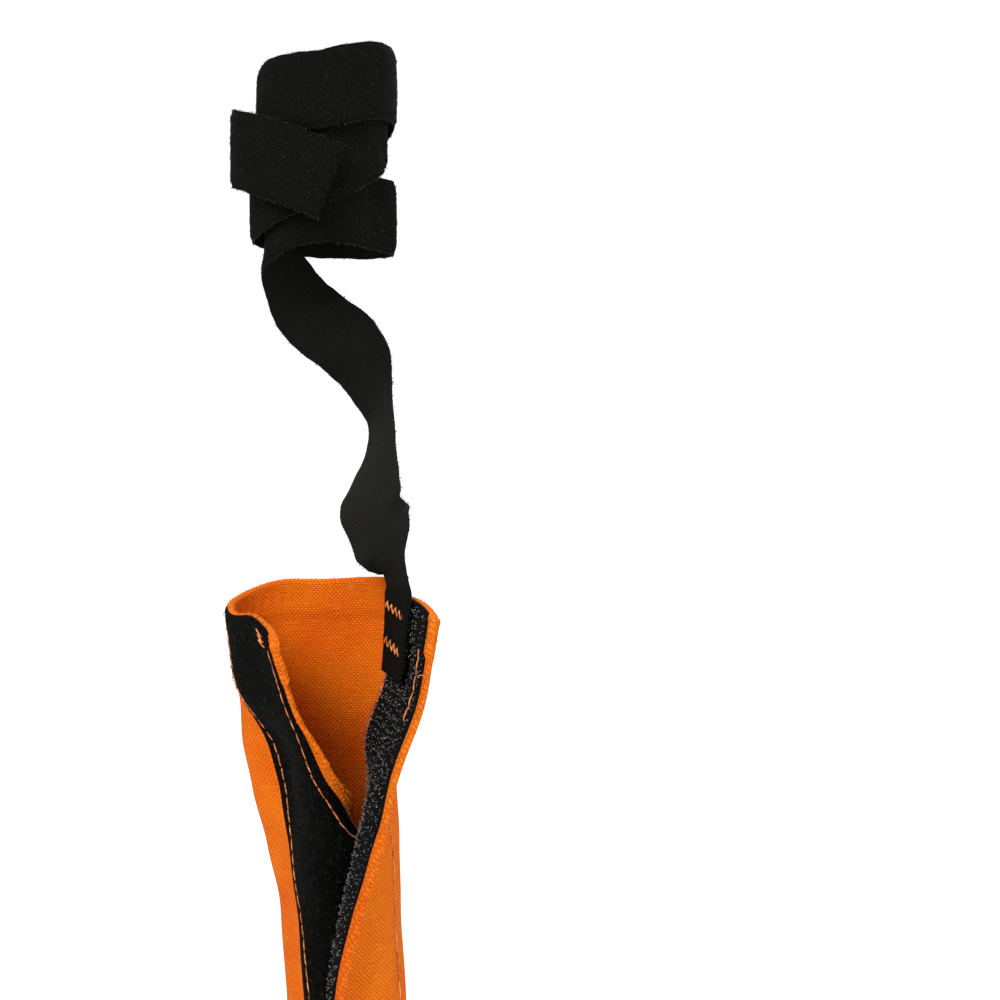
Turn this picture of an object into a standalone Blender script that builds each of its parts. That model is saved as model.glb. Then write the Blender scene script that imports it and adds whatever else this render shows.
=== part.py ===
"""A sling protector: a hemmed canvas sleeve that closes round a sling with hook-and-loop tape.

The sleeve hangs along Z with its front towards -Y. Its lower part is closed and lies flat. Its
mouth is peeled open, and the strap of that end is wound above it. The whole sleeve is one cloth
surface, so every layer is a grid of points on that surface, moved out along its normal.
Lengths are in metres, and s runs round the sleeve from the underlap's free edge while v runs up it.
"""

import math

import bpy
import numpy as np
from mathutils import Vector

# Cloth, tapes and clearance
SLEEVE_LENGTH = 0.500
CANVAS = 0.0010
HEM_EXTRA = 0.0007
HEM_WIDTH = 0.010
TAPE_WIDTH = 0.030
LOOP_TAPE = 0.0014
HOOK_TAPE = 0.0012
GAP = 0.0003
LAYERS = CANVAS + LOOP_TAPE + HOOK_TAPE + 3 * GAP

# The closed sleeve across its width: two faces joined by two tight edges
FACE = 0.0342
EDGE = 0.0100
FLAT_STRIP = 0.0140
FACE_BEND = math.radians(50)
HALF_LOOP = FACE + EDGE
UNDERLAP_MARGIN = 0.0036
OVERLAP_MARGIN = 0.0020
OVERLAP_RUN = 0.0735
UNDERLAP_RUN = FACE / 2 + EDGE + TAPE_WIDTH + UNDERLAP_MARGIN
PANEL_WIDTH = UNDERLAP_RUN + OVERLAP_RUN
FOLD_RUN = 0.0265

# Where the fold line that the overlap turns on lies, in front of the frame's zero
FOLD_Y = -0.0045

# The middle of the channel's lower end, which the object's frame starts from
FRAME_START = Vector((-0.0035, -0.0058, 0))

# The peeled mouth: height, x of the fold line, and how the cloth runs at places round it, in
# degrees from the line of the back, on the left and on the right of the middle of the back
LEFT_PLACES = (0, 0.009, 0.018, 0.0275, 0.036, 0.044, 0.052, UNDERLAP_RUN)
RIGHT_PLACES = (0, 0.009, 0.018, FOLD_RUN, 0.034, 0.0415, 0.049, 0.057, 0.065, OVERLAP_RUN)
MOUTH = (
    (0.384, 0.0172, (30, 69, 112, 130, 179, 224, 257, 287), (-30, -3, 31, 66, 90, 107, 128, 162, 149, 43)),
    (0.415, 0.0156, (18, 74, 123, 111, 149, 220, 248, 272), (-18, 2, 29, 67, 90, 105, 122, 150, 121, 38)),
    (0.431, 0.0149, (-7, 65, 137, 113, 107, 189, 252, 264), (6, 1, 16, 56, 93, 105, 121, 135, 96, 44)),
    (0.447, 0.0140, (-20, 37, 133, 151, 97, 99, 182, 295), (18, 1, 8, 48, 99, 115, 112, 99, 81, 59)),
    (0.461, 0.0128, (-25, 19, 126, 162, 110, 92, 125, 183), (24, 5, 2, 40, 123, 121, 72, 75, 81, 77)),
    (0.479, 0.0138, (-23, 18, 67, 111, 127, 129, 123, 111), (23, 18, 19, 40, 96, 101, 72, 77, 82, 79)),
    (0.500, 0.0134, (-20, 17, 57, 97, 119, 123, 114, 100), (20, 22, 26, 44, 90, 93, 68, 73, 76, 72)),
)
PEEL_TURN = 31
SOFT_ROUND = 0.004
SOFT_UP = 0.006
EDGE_SLACK = 0.5

# Thread
THREAD = 0.0005
ROW_INSET = 0.0028
HEM_ROW = 0.0050
LOOP_ROWS = (UNDERLAP_MARGIN + ROW_INSET, UNDERLAP_MARGIN + TAPE_WIDTH - ROW_INSET)
SEAM_DIP = 0.0009
SEAM_DIP_WIDTH = 0.0016

# Straps
STRAP_WIDTH = 0.020
STRAP = 0.0016
TOP_ROOT = 0.021
ROOT_INSET = 0.0008
TOP_RISE = 0.0020
TACK_LENGTH = 0.015
TACK_WIDTH = 0.0024
TACK_HEIGHT = 0.0006
BOTTOM_ROOT = 0.026
BOTTOM_EDGE = 0.0004
BOTTOM_STEP = 0.0038
BOTTOM_SLOPE = math.radians(12)
BOTTOM_EXIT = 0.0045

# The winding above the mouth: (turn in degrees from the front, radius, height above the mouth)
WINDING_X = -0.0025
WINDING = (
    (-205, 0.0142, 0.0650), (-160, 0.0146, 0.0740), (-125, 0.0150, 0.0850), (-90, 0.0157, 0.0930),
    (-45, 0.0140, 0.0975), (0, 0.0124, 0.0987), (40, 0.0126, 0.0984), (66, 0.0137, 0.0980),
    (92, 0.0190, 0.0978), (125, 0.0178, 0.0984), (180, 0.0164, 0.0998), (205, 0.0187, 0.1004),
    (225, 0.0190, 0.1008), (250, 0.0196, 0.1011), (270, 0.0196, 0.1016), (315, 0.0169, 0.1048),
    (360, 0.0150, 0.1091), (400, 0.0153, 0.1150), (424, 0.0157, 0.1195), (450, 0.0162, 0.1216),
    (500, 0.0160, 0.1230), (540, 0.0160, 0.1240), (585, 0.0172, 0.1254), (630, 0.0180, 0.1271),
    (675, 0.0186, 0.1275), (720, 0.0184, 0.1276), (765, 0.0188, 0.1312), (810, 0.0190, 0.1326),
    (855, 0.0188, 0.1290), (900, 0.0188, 0.1252), (940, 0.0216, 0.1212), (975, 0.0238, 0.1183),
)
TAIL = (
    (978, 0.0240, 0.1180), (995, 0.0249, 0.1161), (1015, 0.0246, 0.1134), (1048, 0.0222, 0.1082),
    (1086, 0.0212, 0.1024),
)

# The twisted run from the sewn root to the winding: places, and the way the strap's width points
LEAD = (
    ((0.0150, -0.0297, 0.5045), (0.28, -0.96, -0.07)),
    ((0.0142, -0.0262, 0.5095), (0.45, -0.89, -0.03)),
    ((0.0117, -0.0188, 0.5135), (0.63, -0.77, 0.06)),
    ((0.0097, -0.0140, 0.5195), (0.74, -0.66, 0.08)),
    ((0.0108, -0.0080, 0.5275), (0.54, -0.80, 0.20)),
    ((0.0126, -0.0020, 0.5368), (0.34, -0.84, 0.38)),
    ((0.0128, 0.0045, 0.5475), (0.25, -0.65, 0.70)),
    ((0.0090, 0.0100, 0.5580), (0.38, -0.35, 0.85)),
)

# The bottom strap's loose loop, from the overlap's free edge out to the left and back
BOTTOM_LOOP = (
    (-0.0290, -0.0152, 0.0016), (-0.0365, -0.0134, 0.0003), (-0.0430, -0.0088, -0.0006),
    (-0.0455, -0.0020, 0.0000), (-0.0436, 0.0044, 0.0014), (-0.0385, 0.0080, 0.0034),
    (-0.0325, 0.0094, 0.0056), (-0.0275, 0.0096, 0.0072),
)
BOTTOM_LEAN = (-0.21, -0.26, -0.26)

# How finely the solids are cut
ROWS = (
    (0.0, 0.060, 9), (0.060, 0.240, 1), (0.240, 0.300, 6), (0.300, 0.488, 28), (0.488, 0.500, 3),
)
COLUMN = 0.0036
CLOTH_STEPS = 250
ROUND_STEPS = 400


def smooth(value, low, high):
    """0 below low, 1 above high, and a soft ramp between them."""
    part = np.clip((np.asarray(value, float) - low) / (high - low), 0, 1)
    return part * part * (3 - 2 * part)


def along(v, *stations):
    """A size that changes up the sleeve, read between its stations with soft ramps."""
    places, values = zip(*stations)
    value = np.full(np.shape(v), float(values[0]))
    for low, high, first, last in zip(places, places[1:], values, values[1:]):
        value = value + (last - first) * smooth(v, low, high)
    return value


def flat_turning(q):
    """How far the closed sleeve has turned at q from the middle of its back."""
    side = (FACE - FLAT_STRIP) / 2
    soft = FACE_BEND / 2 / side
    tight = (math.pi - FACE_BEND) / EDGE
    first_edge = FACE / 2
    second_side = first_edge + EDGE
    third_side = second_side + side + FLAT_STRIP
    second_edge = HALF_LOOP + FACE / 2
    return (
        soft * np.clip(q - FLAT_STRIP / 2, 0, side)
        + tight * np.clip(q - first_edge, 0, EDGE)
        + soft * np.clip(q - second_side, 0, side)
        + soft * np.clip(q - third_side, 0, side)
        + tight * np.clip(q - second_edge, 0, EDGE)
    )


def layer_spacing(v):
    """The overlap's distance outside the underlap, with room for the hem and the strap below."""
    return LAYERS + (HEM_EXTRA + STRAP + GAP) * (1 - smooth(v, 0.027, 0.052))


def half_section(v, outer):
    """Run and direction of one half of the closed section, from the middle of the back."""
    q = np.linspace(0, 0.085, ROUND_STEPS)
    loose = float(smooth(v, 0.250, 0.372))
    turning = (1 - loose) * flat_turning(q) + loose * math.pi * q / HALF_LOOP
    if not outer:
        return q, turning
    x = np.concatenate([[0], np.cumsum(np.cos(turning[:-1]) * np.diff(q))])
    y = np.concatenate([[0], np.cumsum(-np.sin(turning[:-1]) * np.diff(q))])
    out = float(layer_spacing(v)) * smooth(q, 0.008, 0.027)
    x = x + out * np.sin(turning)
    y = y + out * np.cos(turning)
    dx, dy = np.gradient(x), np.gradient(y)
    run = np.concatenate([[0], np.cumsum(np.hypot(np.diff(x), np.diff(y)))])
    return run, np.unwrap(np.arctan2(-dy, dx))


def mouth_direction(v, run, places, side):
    """The cloth's direction round the open mouth at height v, read from its stations."""
    heights = [station[0] for station in MOUTH]
    angles = [np.interp(v, heights, column) for column in zip(*(station[side] for station in MOUTH))]
    reach = int(SOFT_ROUND / (run[1] - run[0]))
    padded = np.pad(np.radians(np.interp(run, places, angles)), reach, mode="edge")
    kernel = np.hanning(2 * reach + 3)[1:-1]
    return np.convolve(padded, kernel / kernel.sum(), mode="valid")


def direction_rows(heights):
    """The cloth's direction up and round its left and right halves, blended from closed to open."""
    left = np.linspace(0, UNDERLAP_RUN, ROUND_STEPS)
    right = np.linspace(0, OVERLAP_RUN, ROUND_STEPS)
    rows = []
    for v in heights:
        turn = math.radians(PEEL_TURN) * smooth(v, 0.280, MOUTH[0][0])
        opened = smooth(v, 0.340, MOUTH[0][0])
        closed_left = np.interp(left, *half_section(v, False)) + turn
        closed_right = np.interp(right, *half_section(v, True)) - turn
        open_left = mouth_direction(v, left, LEFT_PLACES, 2)
        open_right = mouth_direction(v, right, RIGHT_PLACES, 3)
        rows.append(np.concatenate([
            closed_left + (open_left - closed_left) * opened,
            closed_right + (open_right - closed_right) * opened,
        ]))
    return left, right, soften_up(np.array(rows), heights[1] - heights[0])


def soften_up(rows, step):
    """The rows averaged over a short height, so that the stations leave no creases."""
    reach = int(round(SOFT_UP / step))
    kernel = np.hanning(2 * reach + 3)[1:-1]
    padded = np.pad(rows, ((reach, reach), (0, 0)), mode="edge")
    shifted = [part * padded[i : i + len(rows)] for i, part in enumerate(kernel / kernel.sum())]
    return np.sum(shifted, axis=0)


def walk(run, direction, side):
    """Where a half section runs from the middle of the back, to the right (1) or to the left (-1)."""
    middle = (direction[1:] + direction[:-1]) / 2
    x = np.concatenate([[0], np.cumsum(side * np.cos(middle) * np.diff(run))])
    y = np.concatenate([[0], np.cumsum(-np.sin(middle) * np.diff(run))])
    return x, y


def section(v, left, right, direction):
    """The cloth's x and y round the sleeve at height v, from the underlap's edge to the overlap's."""
    left_x, left_y = walk(left, direction[: len(left)], -1)
    right_x, right_y = walk(right, direction[len(left) :], 1)
    s = np.concatenate([UNDERLAP_RUN - left[::-1], UNDERLAP_RUN + right[1:]])
    x = np.concatenate([left_x[::-1], right_x[1:]])
    y = np.concatenate([left_y[::-1], right_y[1:]])
    fold_x = float(along(v, *(station[:2] for station in MOUTH)))
    x = x + fold_x - np.interp(UNDERLAP_RUN + FOLD_RUN, s, x)
    y = y + FOLD_Y - np.interp(UNDERLAP_RUN + FOLD_RUN, s, y)
    return s, x, y


def make_cloth():
    """The middle of the canvas as a fine table of points and normals over s and v."""
    v = np.linspace(0, SLEEVE_LENGTH, CLOTH_STEPS + 1)
    s = np.linspace(0, PANEL_WIDTH, ROUND_STEPS)
    points = np.zeros((len(v), len(s), 3))
    left, right, directions = direction_rows(v)
    for row, height in enumerate(v):
        run, x, y = section(height, left, right, directions[row])
        points[row, :, 0] = np.interp(s, run, x)
        points[row, :, 1] = np.interp(s, run, y)
    step = np.diff(v)[:, None]
    sideways = np.sum(np.diff(points[:, :, :2], axis=0) ** 2, axis=2)
    taut = 1 - EDGE_SLACK * smooth(s, UNDERLAP_RUN + FOLD_RUN, PANEL_WIDTH)
    rise = np.sqrt(np.maximum(step**2 - taut * sideways, (0.4 * step) ** 2))
    points[1:, :, 2] = np.cumsum(rise, axis=0)
    across = np.gradient(points, axis=1)
    up = np.gradient(points, axis=0)
    normals = np.cross(up, across)
    normals /= np.linalg.norm(normals, axis=2, keepdims=True)
    return s, v, points, normals


CLOTH = make_cloth()


def cloth_point(s, v, out=0.0):
    """The point out from the canvas's middle at s, v. Both may be arrays of one shape."""
    s_table, v_table, points, normals = CLOTH
    s, v = np.broadcast_arrays(np.asarray(s, float), np.asarray(v, float))
    column = np.interp(s, s_table, np.arange(len(s_table)))
    row = np.interp(v, v_table, np.arange(len(v_table)))
    i = np.minimum(column.astype(int), len(s_table) - 2)
    j = np.minimum(row.astype(int), len(v_table) - 2)
    a, b = (column - i)[..., None], (row - j)[..., None]

    def read(table):
        low = table[j, i] * (1 - a) + table[j, i + 1] * a
        high = table[j + 1, i] * (1 - a) + table[j + 1, i + 1] * a
        return low * (1 - b) + high * b

    normal = read(normals)
    normal = normal / np.linalg.norm(normal, axis=-1, keepdims=True)
    return read(points) + normal * np.asarray(out, float)[..., None]


def material(name, colour, roughness, metallic=0.0):
    made = bpy.data.materials.new(name)
    made.use_nodes = True
    shader = made.node_tree.nodes["Principled BSDF"]
    shader.inputs["Base Color"].default_value = (*colour, 1)
    shader.inputs["Roughness"].default_value = roughness
    shader.inputs["Metallic"].default_value = metallic
    made.diffuse_color = (*colour, 1)
    return made


def add_object(name, points, faces, finish, origin=(0, 0, 0)):
    """An object from points in the model's frame, with its own origin on its joint's axis."""
    mesh = bpy.data.meshes.new(name)
    local = [Vector(point) - Vector(origin) for point in points]
    mesh.from_pydata(local, [], faces)
    mesh.validate()
    mesh.shade_smooth()
    mesh.set_sharp_from_angle(angle=math.radians(40))
    mesh.materials.append(finish)
    made = bpy.data.objects.new(name, mesh)
    made.location = Vector(origin) - FRAME_START
    bpy.context.scene.collection.objects.link(made)
    return made


def slab_faces(rows, columns):
    """Faces of a closed slab whose inner grid comes first and whose outer grid follows it."""
    def at(layer, row, column):
        return (layer * rows + row) * columns + column

    faces = []
    for row in range(rows - 1):
        for column in range(columns - 1):
            corners = ((row, column), (row, column + 1), (row + 1, column + 1), (row + 1, column))
            for half in (corners[:3], (corners[0], corners[2], corners[3])):
                faces.append([at(0, *corner) for corner in half])
                faces.append([at(1, *corner) for corner in half[::-1]])
    rim = [(0, column) for column in range(columns)]
    rim += [(row, columns - 1) for row in range(1, rows)]
    rim += [(rows - 1, column) for column in range(columns - 2, -1, -1)]
    rim += [(row, 0) for row in range(rows - 2, 0, -1)]
    for here, there in zip(rim, rim[1:] + rim[:1]):
        faces.append([at(0, *there), at(0, *here), at(1, *here), at(1, *there)])
    return faces


def slab(name, inner, outer, finish, origin=(0, 0, 0)):
    """A closed sheet between two grids of points of one shape."""
    rows, columns = inner.shape[:2]
    points = np.concatenate([inner.reshape(-1, 3), outer.reshape(-1, 3)])
    return add_object(name, points, slab_faces(rows, columns), finish, origin)


def rows_between(low, high):
    """The shared heights from low to high, so that neighbouring layers are cut alike."""
    shared = [first + (last - first) * step / count for first, last, count in ROWS for step in range(count)]
    shared.append(SLEEVE_LENGTH)
    inside = [v for v in shared if low + 0.0008 < v < high - 0.0008]
    return np.array([low, *inside, high])


def columns_between(low, high):
    """The shared lines round the sleeve from low to high."""
    lines = np.arange(0, PANEL_WIDTH + COLUMN, COLUMN)
    edge_low = UNDERLAP_RUN - FACE / 2 - EDGE
    edge_high = UNDERLAP_RUN + FACE / 2
    bands = [[edge_low + EDGE * step / 6 for step in range(7)]]
    bands.append([edge_high + (EDGE + 0.004) * step / 7 for step in range(8)])
    bands.append([UNDERLAP_RUN + FLAT_STRIP * (step / 4 - 0.5) for step in range(5)])
    for row in LOOP_ROWS:
        bands.append([row + SEAM_DIP_WIDTH * step for step in (-1, -0.4, 0.4, 1)])
    coarse = [s for s in lines if not any(band[0] - 0.0012 < s < band[-1] + 0.0012 for band in bands)]
    shared = sorted(coarse + sum(bands, []))
    inside = [s for s in shared if low + 0.0008 < s < high - 0.0008]
    return np.array([low, *inside, high])


def hem_thickness(v):
    """How much thicker the canvas is where it is turned in at the sleeve's two ends."""
    top = smooth(v, SLEEVE_LENGTH - HEM_WIDTH - 0.002, SLEEVE_LENGTH - HEM_WIDTH)
    return HEM_EXTRA * (top + 1 - smooth(v, HEM_WIDTH, HEM_WIDTH + 0.002))


def canvas(name, low, high, finish, origin=(0, 0, 0)):
    s, v = np.meshgrid(columns_between(low, high), rows_between(0, SLEEVE_LENGTH))
    inner = cloth_point(s, v, -CANVAS / 2 - hem_thickness(v))
    return slab(name, inner, cloth_point(s, v, CANVAS / 2 + 0 * v), finish, origin)


def loop_height(s):
    """How thick the loop tape is at s: its seams pull the pile down."""
    dips = [1 - smooth(np.abs(s - row), 0.4 * SEAM_DIP_WIDTH, SEAM_DIP_WIDTH) for row in LOOP_ROWS]
    return LOOP_TAPE - SEAM_DIP * np.maximum(*dips)


def tape_grid(low):
    return np.meshgrid(columns_between(low, low + TAPE_WIDTH), rows_between(0.0006, SLEEVE_LENGTH - 0.0004))


def loop_tape(finish):
    s, v = tape_grid(UNDERLAP_MARGIN)
    near = CANVAS / 2 + GAP + 0 * v
    slab("loop_tape", cloth_point(s, v, near), cloth_point(s, v, near + loop_height(s)), finish)


def hook_tape(low, finish, origin):
    s, v = tape_grid(low)
    near = CANVAS / 2 + GAP + hem_thickness(v)
    inner = cloth_point(s, v, -near - HOOK_TAPE)
    slab("hook_tape", inner, cloth_point(s, v, -near), finish, origin)


def thread(name, path, finish, origin=(0, 0, 0)):
    """A row of thread as one tube that lies along the path."""
    curve = bpy.data.curves.new(name, "CURVE")
    curve.dimensions = "3D"
    curve.bevel_depth = THREAD / 2
    curve.bevel_resolution = 0
    curve.use_fill_caps = True
    curve.resolution_u = 1
    line = curve.splines.new("POLY")
    line.points.add(len(path) - 1)
    for point, place in zip(line.points, path):
        point.co = (*(Vector(place) - Vector(origin)), 1)
    curve.materials.append(finish)
    made = bpy.data.objects.new(name, curve)
    made.location = Vector(origin) - FRAME_START
    bpy.context.scene.collection.objects.link(made)


def tape_row(name, s, cover, finish, origin=(0, 0, 0)):
    """A seam up the sleeve, over so much cover on the canvas's outer face."""
    v = rows_between(HEM_ROW + 0.0015, SLEEVE_LENGTH - HEM_ROW - 0.0015)
    out = CANVAS / 2 + cover + GAP + THREAD / 2
    thread(name, cloth_point(s, v, np.full(len(v), out)), finish, origin)


def hem_row(name, low, high, v, finish, origin=(0, 0, 0)):
    s = columns_between(low, high)
    out = CANVAS / 2 + GAP + THREAD / 2
    thread(name, cloth_point(s, np.full(len(s), v), np.full(len(s), out)), finish, origin)


def spline(points, steps):
    """Catmull-Rom through the points, with the same number of steps between each two."""
    points = np.asarray(points, float)
    ends = np.concatenate([[2 * points[0] - points[1]], points, [2 * points[-1] - points[-2]]])
    found = []
    for a, b, c, d in zip(ends, ends[1:], ends[2:], ends[3:]):
        for step in range(steps):
            t = step / steps
            square = (2 * a - 5 * b + 4 * c - d) * t**2
            cube = (3 * b - a - 3 * c + d) * t**3
            found.append(0.5 * (2 * b + (c - a) * t + square + cube))
    found.append(points[-1])
    return np.array(found)


def unit(vectors):
    return vectors / np.linalg.norm(vectors, axis=-1, keepdims=True)


def ribbon_frame(centres, widths):
    """The strap's width and face directions at each centre, square to its run."""
    runs = unit(np.gradient(centres, axis=0))
    faces = unit(np.cross(runs, widths))
    return np.cross(faces, runs), faces


def ribbon(name, centres, widths, finish, origin=(0, 0, 0)):
    """A strap of rectangular section along the centres. widths point across it."""
    across, faces = ribbon_frame(centres, widths)
    half_width, half = across * STRAP_WIDTH / 2, faces * STRAP / 2
    inner = np.stack([centres - half_width - half, centres + half_width - half], axis=1)
    outer = np.stack([centres - half_width + half, centres + half_width + half], axis=1)
    return slab(name, inner, outer, finish, origin)


def winding_points(stations):
    turns, radii, heights = np.array(stations, float).T
    angles = np.radians(turns)
    return np.stack(
        [WINDING_X + radii * np.sin(angles), -radii * np.cos(angles), SLEEVE_LENGTH + heights], axis=1
    )


def root_columns():
    """Where the top strap's sewn root starts and ends round the sleeve."""
    inner_edge = PANEL_WIDTH - OVERLAP_MARGIN - TAPE_WIDTH + ROOT_INSET
    return inner_edge, inner_edge + STRAP_WIDTH


def root_depth(v):
    """The strap root's middle, inwards from the canvas's middle."""
    return -(CANVAS / 2 + hem_thickness(v) + HOOK_TAPE + 2 * GAP + STRAP / 2)


def top_root(finish, origin):
    low, high = root_columns()
    v = rows_between(SLEEVE_LENGTH - TOP_ROOT, SLEEVE_LENGTH - 0.0004)
    s, v = np.meshgrid(np.linspace(low, high, 6), v)
    middle = root_depth(v)
    inner = cloth_point(s, v, middle - STRAP / 2)
    return slab("top_strap_root", inner, cloth_point(s, v, middle + STRAP / 2), finish, origin)


def root_exit():
    """The middle of the root's top end, and the directions across the strap and up along it."""
    low, high = root_columns()
    heights = np.array([SLEEVE_LENGTH - 0.006, SLEEVE_LENGTH - 0.0004])
    depth = root_depth(heights)
    middle = cloth_point(np.full(2, (low + high) / 2), heights, depth)
    ends = cloth_point(np.array([low, high]), heights[1:].repeat(2), depth[1:].repeat(2))
    return middle[1], unit(ends[1] - ends[0]), unit(middle[1] - middle[0])


def tack(name, middle, size, depth, side, finish, origin):
    """A bar tack over s and v: a low bar of close stitches on the layer whose face is at depth."""
    half_s, half_v = size[0] / 2, size[1] / 2
    s = np.linspace(middle[0] - half_s, middle[0] + half_s, 4 if half_s > half_v else 2)
    v = np.linspace(middle[1] - half_v, middle[1] + half_v, 2 if half_s > half_v else 4)
    s, v = np.meshgrid(s, v)
    near = depth + side * GAP
    grids = [cloth_point(s, v, near + 0 * v), cloth_point(s, v, near + side * TACK_HEIGHT + 0 * v)]
    slab(name, *grids[::side], finish, origin)


def top_tacks(finish, origin):
    low, high = root_columns()
    for name, down in (("top_strap_tack_upper", 0.0050), ("top_strap_tack_lower", 0.0145)):
        v = SLEEVE_LENGTH - down
        face = float(root_depth(v)) - STRAP / 2
        tack(name, ((low + high) / 2, v), (TACK_LENGTH, TACK_WIDTH), face, -1, finish, origin)


def top_strap(finish):
    """The free length of the top strap: its twisted run and winding, and its loose end."""
    start, across, up = root_exit()
    points = [start + up * TOP_RISE]
    widths = [across]
    for place, width in LEAD:
        points.append(np.array(place))
        widths.append(unit(np.array(width)))
    wound = winding_points(WINDING)
    points += list(wound)
    widths += [np.array([0.0, 0.0, 1.0])] * len(wound)
    steps = 4
    centres, widths = spline(points, steps), spline(widths, steps)
    ribbon("top_strap_winding", centres, widths, finish, start)
    tail = spline(winding_points(TAIL), steps)
    turn, radius, height = TAIL[0]
    hinge = winding_points([(turn, radius + STRAP / 2, height)])[0]
    ribbon("top_strap_tail", tail, np.tile([0.0, 0.0, 1.0], (len(tail), 1)), finish, hinge)
    print(f"Least gap of the winding to itself: {1000 * self_gap(centres, widths):.2f} mm")


def self_gap(centres, widths):
    """The least clear distance between two turns of the strap, measured on points of its middle."""
    across, _ = ribbon_frame(centres, widths)
    offsets = np.linspace(-0.5, 0.5, 9)[:, None, None] * STRAP_WIDTH
    lattice = centres[None] + offsets * across[None]
    length = np.concatenate([[0], np.cumsum(np.linalg.norm(np.diff(centres, axis=0), axis=1))])
    least = 1.0
    for i in range(len(centres)):
        far = np.abs(length - length[i]) > 0.045
        if far.any():
            apart = lattice[:, far].reshape(-1, 1, 3) - lattice[:, i].reshape(1, -1, 3)
            least = min(least, float(np.linalg.norm(apart, axis=2).min()))
    return least - STRAP


def bottom_patch(out_run, across, depth):
    """A point of the bottom strap's root, which slopes down across the hook tape to the free edge."""
    s = PANEL_WIDTH + out_run * math.cos(BOTTOM_SLOPE) - across * math.sin(BOTTOM_SLOPE)
    v = BOTTOM_EXIT - out_run * math.sin(BOTTOM_SLOPE) - across * math.cos(BOTTOM_SLOPE)
    below = np.minimum(v, 0)[..., None] * (0, 0, 1)
    return cloth_point(s, np.maximum(v, 0), depth) + below


def bottom_root(finish, origin):
    across = np.linspace(1, -1, 5)[:, None] * STRAP_WIDTH / 2
    end = across * math.tan(BOTTOM_SLOPE) - BOTTOM_EDGE
    out_run = -BOTTOM_ROOT + (end + BOTTOM_ROOT) * np.linspace(0, 1, 9)
    across = across + 0 * out_run
    clear = CANVAS / 2 + HEM_EXTRA + HOOK_TAPE + 2 * GAP
    outer = bottom_patch(out_run, across, np.full(across.shape, -clear))
    inner = bottom_patch(out_run, across, np.full(across.shape, -clear - STRAP))
    slab("bottom_strap_root", inner, outer, finish, origin)


def bottom_exit():
    """Where the bottom strap's free length starts, a little beyond the overlap's free edge."""
    depth = np.full(2, -(CANVAS / 2 + HEM_EXTRA + HOOK_TAPE + 2 * GAP + STRAP / 2))
    inner, edge = bottom_patch(np.array([-0.006, -BOTTOM_EDGE]), np.zeros(2), depth)
    return edge + unit(edge - inner) * BOTTOM_STEP


def bottom_loop(finish, origin):
    """The bottom strap's free length: out past the free edge, round, and back behind the sleeve."""
    centres = spline([origin, *BOTTOM_LOOP], 3)
    lean = np.interp(np.linspace(0, 1, len(centres)), (0, 0.45, 1), BOTTOM_LEAN)
    widths = np.stack([np.sin(lean), np.zeros(len(lean)), np.cos(lean)], axis=1)
    ribbon("bottom_strap_loop", centres, -widths, finish, origin)


def clear_scene():
    for old in list(bpy.data.objects):
        bpy.data.objects.remove(old, do_unlink=True)


def main():
    clear_scene()
    orange = material("orange canvas", (0.95, 0.24, 0.02), 0.85)
    loop_black = material("black loop pile", (0.012, 0.012, 0.012), 0.95)
    hook_black = material("black hook tape", (0.010, 0.010, 0.010), 0.55)
    strap_black = material("black strap", (0.014, 0.014, 0.013), 0.85)
    thread_orange = material("orange thread", (0.95, 0.38, 0.10), 0.60)

    fold = UNDERLAP_RUN + FOLD_RUN
    hook_low = PANEL_WIDTH - OVERLAP_MARGIN - TAPE_WIDTH
    hinge = cloth_point(fold, 0.15, CANVAS / 2 + GAP / 2) * (1, 1, 0)
    canvas("back_panel", 0, fold - GAP / 2, orange)
    canvas("overlap_flap", fold + GAP / 2, PANEL_WIDTH, orange, hinge)
    loop_tape(loop_black)
    hook_tape(hook_low, hook_black, hinge)
    sunk = GAP + LOOP_TAPE - SEAM_DIP
    tape_row("loop_seam_edge", LOOP_ROWS[0], sunk, thread_orange)
    tape_row("loop_seam_fold", LOOP_ROWS[1], sunk, thread_orange)
    tape_row("hook_seam_edge", hook_low + TAPE_WIDTH - ROW_INSET, 0, thread_orange, hinge)
    tape_row("hook_seam_fold", hook_low + ROW_INSET, 0, thread_orange, hinge)
    back_low = UNDERLAP_MARGIN + TAPE_WIDTH + 0.0015
    for place, v in (("bottom", HEM_ROW), ("top", SLEEVE_LENGTH - HEM_ROW)):
        hem_row(f"{place}_hem_seam_back", back_low, fold - 0.0015, v, thread_orange)
        hem_row(f"{place}_hem_seam_flap", fold + 0.0015, PANEL_WIDTH - 0.0015, v, thread_orange, hinge)
    top_root(strap_black, hinge)
    top_tacks(thread_orange, hinge)
    top_strap(strap_black)
    bottom_root(strap_black, hinge)
    bottom_middle = (PANEL_WIDTH - 0.0078, BOTTOM_EXIT + 0.0080)
    tack("bottom_strap_tack", bottom_middle, (TACK_WIDTH, 0.0120), CANVAS / 2, 1, thread_orange, hinge)
    bottom_loop(strap_black, bottom_exit())


main()
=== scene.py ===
"""The looks of a sling protector: a hemmed canvas sleeve with hook-and-loop tapes and two straps.

Every layer is a grid of points on one cloth surface. s runs round the sleeve from the underlap's free
edge and v runs up it, both in metres. The cloth's own coordinates are kept in millimetres for the weave.
"""

import math

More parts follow.
